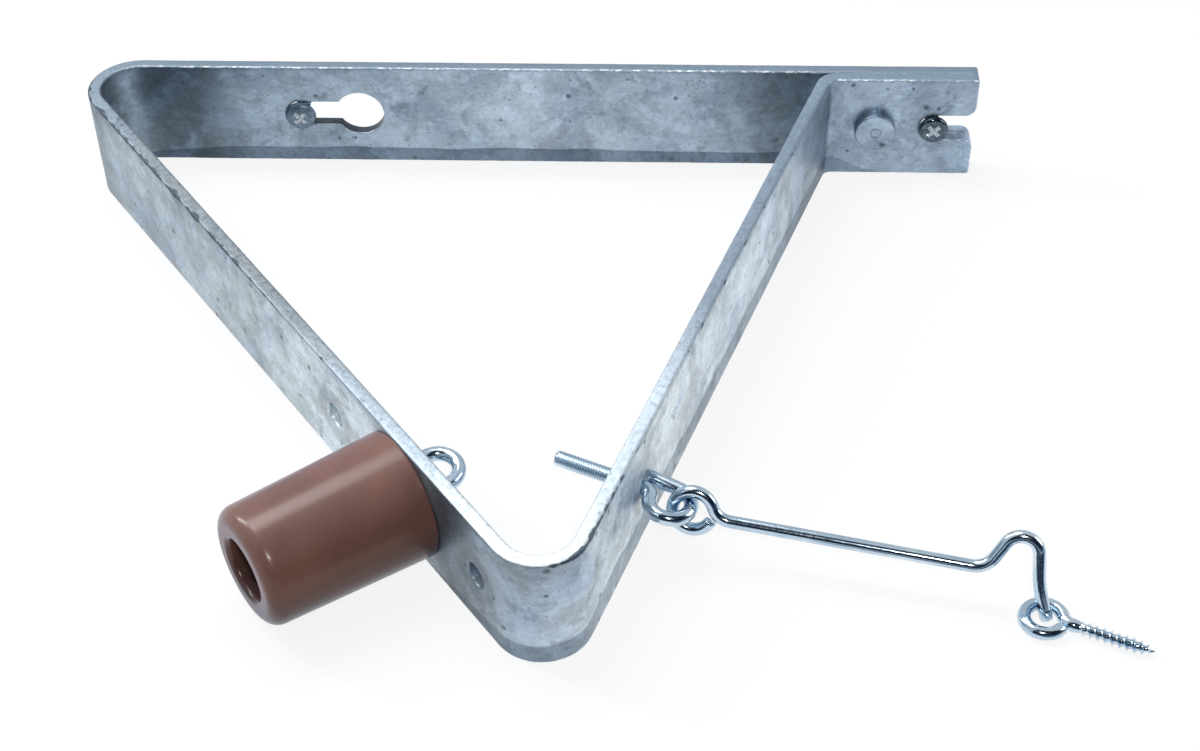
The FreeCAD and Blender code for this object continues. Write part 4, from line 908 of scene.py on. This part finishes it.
def threaded_eye(name, body, wire, line, offset, rows, shape, radius_at, centre, axes):
    """A wire along its middle line, run on into a threaded shank, with its eye at a centre."""
    places, faces = swept_wire(line, wire, centre, axes)
    first = len(places)
    for row in rows:
        for along, step, share in row:
            angle = math.tau * step / WIRE_SIDES
            reach = radius_at(along, share)
            spot = Vector((along, reach * math.cos(angle) - offset, reach * math.sin(angle)))
            places.append((centre + axes @ spot) * MM)
    faces += ring_faces(1, WIRE_SIDES, first - WIRE_SIDES) + helix_faces(rows, shape, WIRE_SIDES, first)
    faces.append(list(range(len(places) - WIRE_SIDES, len(places))))
    return new_piece(name, places, faces, body, sharp_from=40)


bolt_line, bolt_reach = bent_eye(BOLT_RING, BOLT_NECK, BOLT_OFFSET, BOLT_WIRE, BOLT_TAIL)
thread_start, bolt_end = bolt_reach + THREAD_FROM_NECK, bolt_reach + BOLT_SHANK
bolt_rows = helix_rows(thread_start, bolt_end, BOLT_PITCH, METRIC_THREAD, WIRE_SIDES)


def bolt_radius(along, share):
    """Thread between a root of 4.5 mm and a crest of 5 mm across, chamfered at its end."""
    if along < thread_start + 0.01:
        return BOLT_WIRE / 2
    rising = min(1.0, (along - thread_start) / THREAD_RUN_OUT)
    root = BOLT_WIRE / 2 + 0.04 * rising - 0.35 * max(0.0, 1 - (bolt_end - along) / 0.35)
    crest = BOLT_THREAD / 2 - max(0.0, 0.7 - (bolt_end - along))
    return root + max(0.0, crest - root) * share * rising


def bolt_frame(hole, side, sag, roll, pitch):
    """Centre and axes of an eye whose shank goes through a hole of an arm. Side is 1 where the eye stands
    inside the triangle and -1 outside; sag is how far the bolt lies below the hole's middle."""
    middle, along_arm = bar_frame(ARM_HOLES[hole])
    face = middle + Vector((-along_arm.y, along_arm.x)) * side * half_thick
    axes = wire_axes(roll, pitch, math.degrees(math.atan2(along_arm.y, along_arm.x)) - 90 * side)
    return Vector((*face, -sag)) + axes @ Vector((-BOLT_STAND_OFF, BOLT_OFFSET, 0)), axes


buffer_bolt = threaded_eye(
    "buffer_bolt", "bracket", BOLT_WIRE, bolt_line, BOLT_OFFSET, bolt_rows, METRIC_THREAD, bolt_radius,
    *bolt_frame("buffer_bolt", side=1, sag=0.0, roll=174, pitch=0))
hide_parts("buffer_eye_bolt")
# the second bolt is loose: its thread lies on the lower edge of the hole, and its eye droops
HOOK_BOLT_DROOP = 6.0
hook_bolt_sag = ARM_HOLE_RADIUS - BOLT_THREAD / 2 / math.cos(math.radians(HOOK_BOLT_DROOP)) - 0.05
hook_bolt_centre, hook_bolt_axes = bolt_frame(
    "hook_bolt", side=-1, sag=hook_bolt_sag, roll=0, pitch=-HOOK_BOLT_DROOP)
hook_bolt = threaded_eye(
    "hook_bolt", "bracket", BOLT_WIRE, bolt_line, BOLT_OFFSET, bolt_rows, METRIC_THREAD, bolt_radius,
    hook_bolt_centre, hook_bolt_axes)
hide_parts("hook_eye_bolt")

# Bright zinc plating, blue passivated, on drawn wire: mirror-like with a cold tint, and here and there
# the faint marks of drawing and bending.
bright_zinc, bright_shader = new_material("bright_zinc_plating")
where = add(bright_zinc, "TexCoord", {}, out="Object")
tint = add(bright_zinc, "TexNoise", {"Vector": where, "Scale": per_metre(9), "Detail": 4, "Roughness": 0.6})
wire_marks = add(bright_zinc, "TexNoise", {
    "Vector": where, "Scale": per_metre(0.9), "Detail": 4, "Roughness": 0.7})
feed(bright_shader, {
    "Base Color": add(bright_zinc, "ValToRGB", [tint], marks=[
        (0.30, "#b0c6d9"), (0.52, "#c2d4e2"), (0.70, "#d6e2eb")]),
    "Roughness": add(bright_zinc, "MapRange", [wire_marks, 0.35, 0.75, 0.10, 0.20]),
    "Normal": add(bright_zinc, "Bump", {"Height": wire_marks, "Distance": 0.00003, "Strength": 0.4}),
    "Metallic": 1.0})
for bolt in (buffer_bolt, hook_bolt):
    bolt.data.materials.append(bright_zinc)


# Storm hook. 3.8 mm plated wire, bent into an eye that hangs in the second bolt's, with its free end
# against the shank, and at its far end into a hump and a leg that flares out to the tip.
HOOK_WIRE = 3.8
HOOK_EYE = 6.0
HOOK_DROP = 1.5
# straight runs as (length, 0) and bends as (radius, degrees to the left)
HOOK_RUNS = [(80.8, 0), (6.5, 64), (6.0, 0), (5.0, -145), (7.4, 0), (30.0, 12), (7.3, 0)]
# how far out and down its eye's middle lies in the bolt's ring, and how its shank is turned, in degrees
HOOK_PULL = 6.9
HOOK_HANG = 0.8
HOOK_SWEEP = 7.2
HOOK_ROLL = 70.0
HOOK_PITCH = 1.1322
hook_line, hook_reach = bent_eye(HOOK_EYE, HOOK_EYE, HOOK_DROP, HOOK_WIRE, gap=HOOK_EYE + HOOK_WIRE / 2 + 0.9)
for number, (size_mm, degrees) in enumerate(HOOK_RUNS):
    start, heading = hook_line[-1]
    if degrees:
        centre = start + Vector((-heading.y, heading.x)) * math.copysign(size_mm, degrees)
        count = math.ceil(abs(degrees) / 6)
        for step in range(1, count + 1):
            bend = Matrix.Rotation(math.radians(degrees * step / count), 2)
            hook_line.append((centre + bend @ (start - centre), bend @ heading))
    else:
        # the first run is measured from the eye's middle
        length = size_mm if number else size_mm - hook_reach
        count = math.ceil(length / 4)
        hook_line += [(start + heading * length * step / count, heading) for step in range(1, count + 1)]
# the eye is pulled outwards in the bolt's ring, and the shank leads away from it to the ground
swept = hook_bolt_axes @ Matrix.Rotation(math.radians(HOOK_SWEEP), 3, "Z")
hook_centre = hook_bolt_centre + swept @ Vector((-HOOK_PULL, 0, -HOOK_HANG))
hook_way = swept @ Vector((-1, 0, 0))
hook_axes = wire_axes(HOOK_ROLL, HOOK_PITCH, math.degrees(math.atan2(hook_way.y, hook_way.x)))
hook = new_piece("storm_hook_wire", *swept_wire(hook_line, HOOK_WIRE, hook_centre, hook_axes, closed=True),
                 "hook", sharp_from=40)
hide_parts("storm_hook")
hook.data.materials.append(bright_zinc)


# Screw eye. 3.9 mm plated wire with a rolled wood thread that runs out into a point. It lies loose
# round the hook's tip.
EYE_RING = 5.6
EYE_OFFSET = -1.0
EYE_WIRE = 3.9
EYE_SHANK = 24.0
EYE_PITCH = 2.1
EYE_X, EYE_Y = 127.40, -220.53
EYE_HEADING = -23.6
eye_line, eye_reach = bent_eye(EYE_RING, BOLT_NECK, EYE_OFFSET, EYE_WIRE, gap=BOLT_NECK + EYE_WIRE / 2 + 0.9)
eye_start, eye_end = eye_reach + 1.0, eye_reach + EYE_SHANK
eye_rows = helix_rows(eye_start, eye_end, EYE_PITCH, WOOD_THREAD, WIRE_SIDES)


def eye_radius(along, share):
    """Wire that thins to a 2.8 mm core under a 4.3 mm thread, with a point 6 mm long."""
    thinned = EYE_WIRE / 2 - 0.6 * min(1.0, max(0.0, (along - eye_start) / 2.5))
    taper = min(1.0, max(0.0, (eye_end - along) / 6.0))
    core = thinned * (1 - (1 - taper) ** 1.5) + 0.04
    rise = 0.78 * min(1.0, max(0.0, (along - eye_reach - 2.6) / 1.5)) * min(1.0, 2.5 * taper)
    return core + rise * share


loose_eye = threaded_eye(
    "loose_screw_eye", "bracket", EYE_WIRE, eye_line, EYE_OFFSET, eye_rows, WOOD_THREAD, eye_radius,
    Vector((EYE_X, EYE_Y, EYE_WIRE / 2 - half_width)), wire_axes(0, 0, EYE_HEADING))
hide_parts("screw_eye")
loose_eye.data.materials.append(bright_zinc)


# Studio: the bracket stands on a floor of pale paper, which is seen as nearly white and keeps the
# bracket's soft shadow.
FLOOR_HALF = 14
FLOOR_HEIGHT = -0.0202
PAPER_WHITE = 0.86
floor = in_scene("floor", bpy.data.meshes.new("floor"))
floor.data.from_pydata([(-FLOOR_HALF, -FLOOR_HALF, 0), (FLOOR_HALF, -FLOOR_HALF, 0),
                        (FLOOR_HALF, FLOOR_HALF, 0), (-FLOOR_HALF, FLOOR_HALF, 0)], [], [(0, 1, 2, 3)])
floor.location.z = FLOOR_HEIGHT
paper, paper_shader = new_material("floor_paper")
feed(paper_shader, {"Base Color": linear("#cfd2d6"), "Roughness": 0.9})
rays = add(paper, "LightPath", {}).node.outputs
seen = rays["Is Camera Ray"]
for ray in ("Is Glossy Ray", "Is Transmission Ray"):
    seen = add(paper, "Math", [seen, rays[ray]], operation="MAXIMUM")
share = add(paper, "Math", [seen, PAPER_WHITE], operation="MULTIPLY")
white = add(paper, "Emission", {"Color": (1, 1, 1, 1), "Strength": 1.0})
mixed = add(paper, "MixShader", [share, paper_shader.outputs[0], white])
feed(paper.node_tree.nodes["Material Output"], {"Surface": mixed})
floor.data.materials.append(paper)


# Four soft lamps: one overhead, a narrow one and a broad one at the sides, and a small one by the camera.
BRACKET_MIDDLE = Vector((0, -0.11, 0))


def soft_lamp(name, place, width, height, power):
    """A rectangular lamp that points at the middle of the bracket."""
    lamp = bpy.data.lights.new(name, "AREA")
    lamp.shape = "RECTANGLE"
    lamp.size, lamp.size_y = width, height
    lamp.energy = power
    holder = in_scene(name, lamp)
    holder.location = place
    holder.rotation_euler = (BRACKET_MIDDLE - Vector(place)).to_track_quat("-Z", "Y").to_euler()


soft_lamp("overhead_lamp", (-0.35, 0.25, 1.15), 0.64, 0.56, 11)
soft_lamp("left_lamp", (-1.0, 0.25, 0.85), 0.10, 0.7, 9.0)
soft_lamp("right_lamp", (1.15, -0.1, 0.55), 0.7, 0.6, 4)
soft_lamp("camera_lamp", (0.06, -0.66, 0.56), 0.05, 0.05, 2.0)


# A dark cloth stands on the camera's side, from the left front round to the right, and a canopy of it
# leans over the camera. They draw the dark bands in the bright wires; the canopy shades nothing.
def backdrop(name, places, faces):
    """A screen that the camera doesn't see."""
    screen = in_scene(name, bpy.data.meshes.new(name))
    screen.data.from_pydata(places, [], faces)
    screen.visible_camera = False
    return screen


def cloth_rows(name, rows):
    """Part of the cloth, from rows (distance, height) round the camera's side."""
    places = [(reach * math.cos(angle), reach * math.sin(angle), height)
              for reach, height in rows
              for angle in (math.radians(-130 + 115 * step / 24) for step in range(25))]
    faces = [(row * 25 + step, row * 25 + step + 1, row * 25 + step + 26, row * 25 + step + 25)
             for row in range(len(rows) - 1) for step in range(24)]
    return backdrop(name, places, faces)


cloth = cloth_rows("dark_cloth", [(1.5, 0.02), (1.5, 2.1)])
canopy = cloth_rows("dark_canopy", [(1.5, 2.1), (1.1, 2.5), (0.6, 2.7), (0.15, 2.78)])
# A dark card lies on the floor before the hook, seen by the wires alone, and cuts off the floor's white.
CARD_HEIGHT = -0.0199
card_outline = [(45, -238), (112, -250), (128, -234), (170, -236), (260, -216), (700, -254), (700, -1400),
                (45, -1400)]
card = backdrop("dark_card", [(x * MM, y * MM, CARD_HEIGHT) for x, y in card_outline], [tuple(range(8))])
for screen in (canopy, card):
    screen.visible_diffuse = False
    screen.visible_shadow = False
# The card is navy board and the cloth navy velvet, both quite without gloss and paler towards their
# borders, as (name, screens, axis and limits of the change in tone, tones).
for name, screens, axis, start, end, tones in (
        ("navy_board", (card,), "Y", -0.238, -0.292, [
            (0.0, "#64829c"), (0.30, "#2f4457"), (0.60, "#1e2b38")]),
        ("navy_velvet", (cloth, canopy), "Z", 0.0, 2.8, [
            (0.0, "#6d8aa5"), (0.07, "#2c3f52"), (0.16, "#18232e"), (0.80, "#1b2733"), (0.96, "#2b3d50"),
            (1.0, "#7690a8")])):
    dark_side, dark_shader = new_material(name)
    where = add(dark_side, "TexCoord", {}, out="Object")
    level = add(dark_side, "MapRange", [add(dark_side, "SeparateXYZ", [where], out=axis), start, end])
    feed(dark_shader, {"Base Color": add(dark_side, "ValToRGB", [level], marks=tones), "Roughness": 1.0,
                       "Specular IOR Level": 0.0})
    for screen in screens:
        screen.data.materials.append(dark_side)

# Even, slightly cold light from all round.
world = bpy.context.scene.world or bpy.data.worlds.new("studio")
bpy.context.scene.world = world
world.use_nodes = True
feed(world.node_tree.nodes["Background"], {"Color": linear("#eef2f6"), "Strength": 0.75})

# Camera at the photographer's place: in front, well above, looking down 42 degrees. Its focal length is
# in pixels of a picture 1200 pixels wide, its place in millimetres and its turns in radians.
SENSOR = 36.0
FOCAL_PIXELS = 2068.396
PICTURE_WIDTH = 1200
CAMERA_PLACE = (19.365, -610.209, 430.019)
CAMERA_TURN, CAMERA_DIP, CAMERA_ROLL = 0.04324768, -0.74113507, 0.01606022
camera_data = bpy.data.cameras.new("camera")
camera_data.sensor_width = SENSOR
camera_data.lens = SENSOR * FOCAL_PIXELS / PICTURE_WIDTH
camera = in_scene("camera", camera_data)
camera.matrix_world = (Matrix.Translation(Vector(CAMERA_PLACE) * MM) @ Matrix.Rotation(CAMERA_TURN, 4, "Z")
                       @ Matrix.Rotation(CAMERA_DIP, 4, "X") @ Matrix.Rotation(CAMERA_ROLL, 4, "Y")
                       @ Matrix.Rotation(math.pi / 2, 4, "X"))
bpy.context.scene.camera = camera
bpy.context.scene.view_settings.view_transform = "Standard"
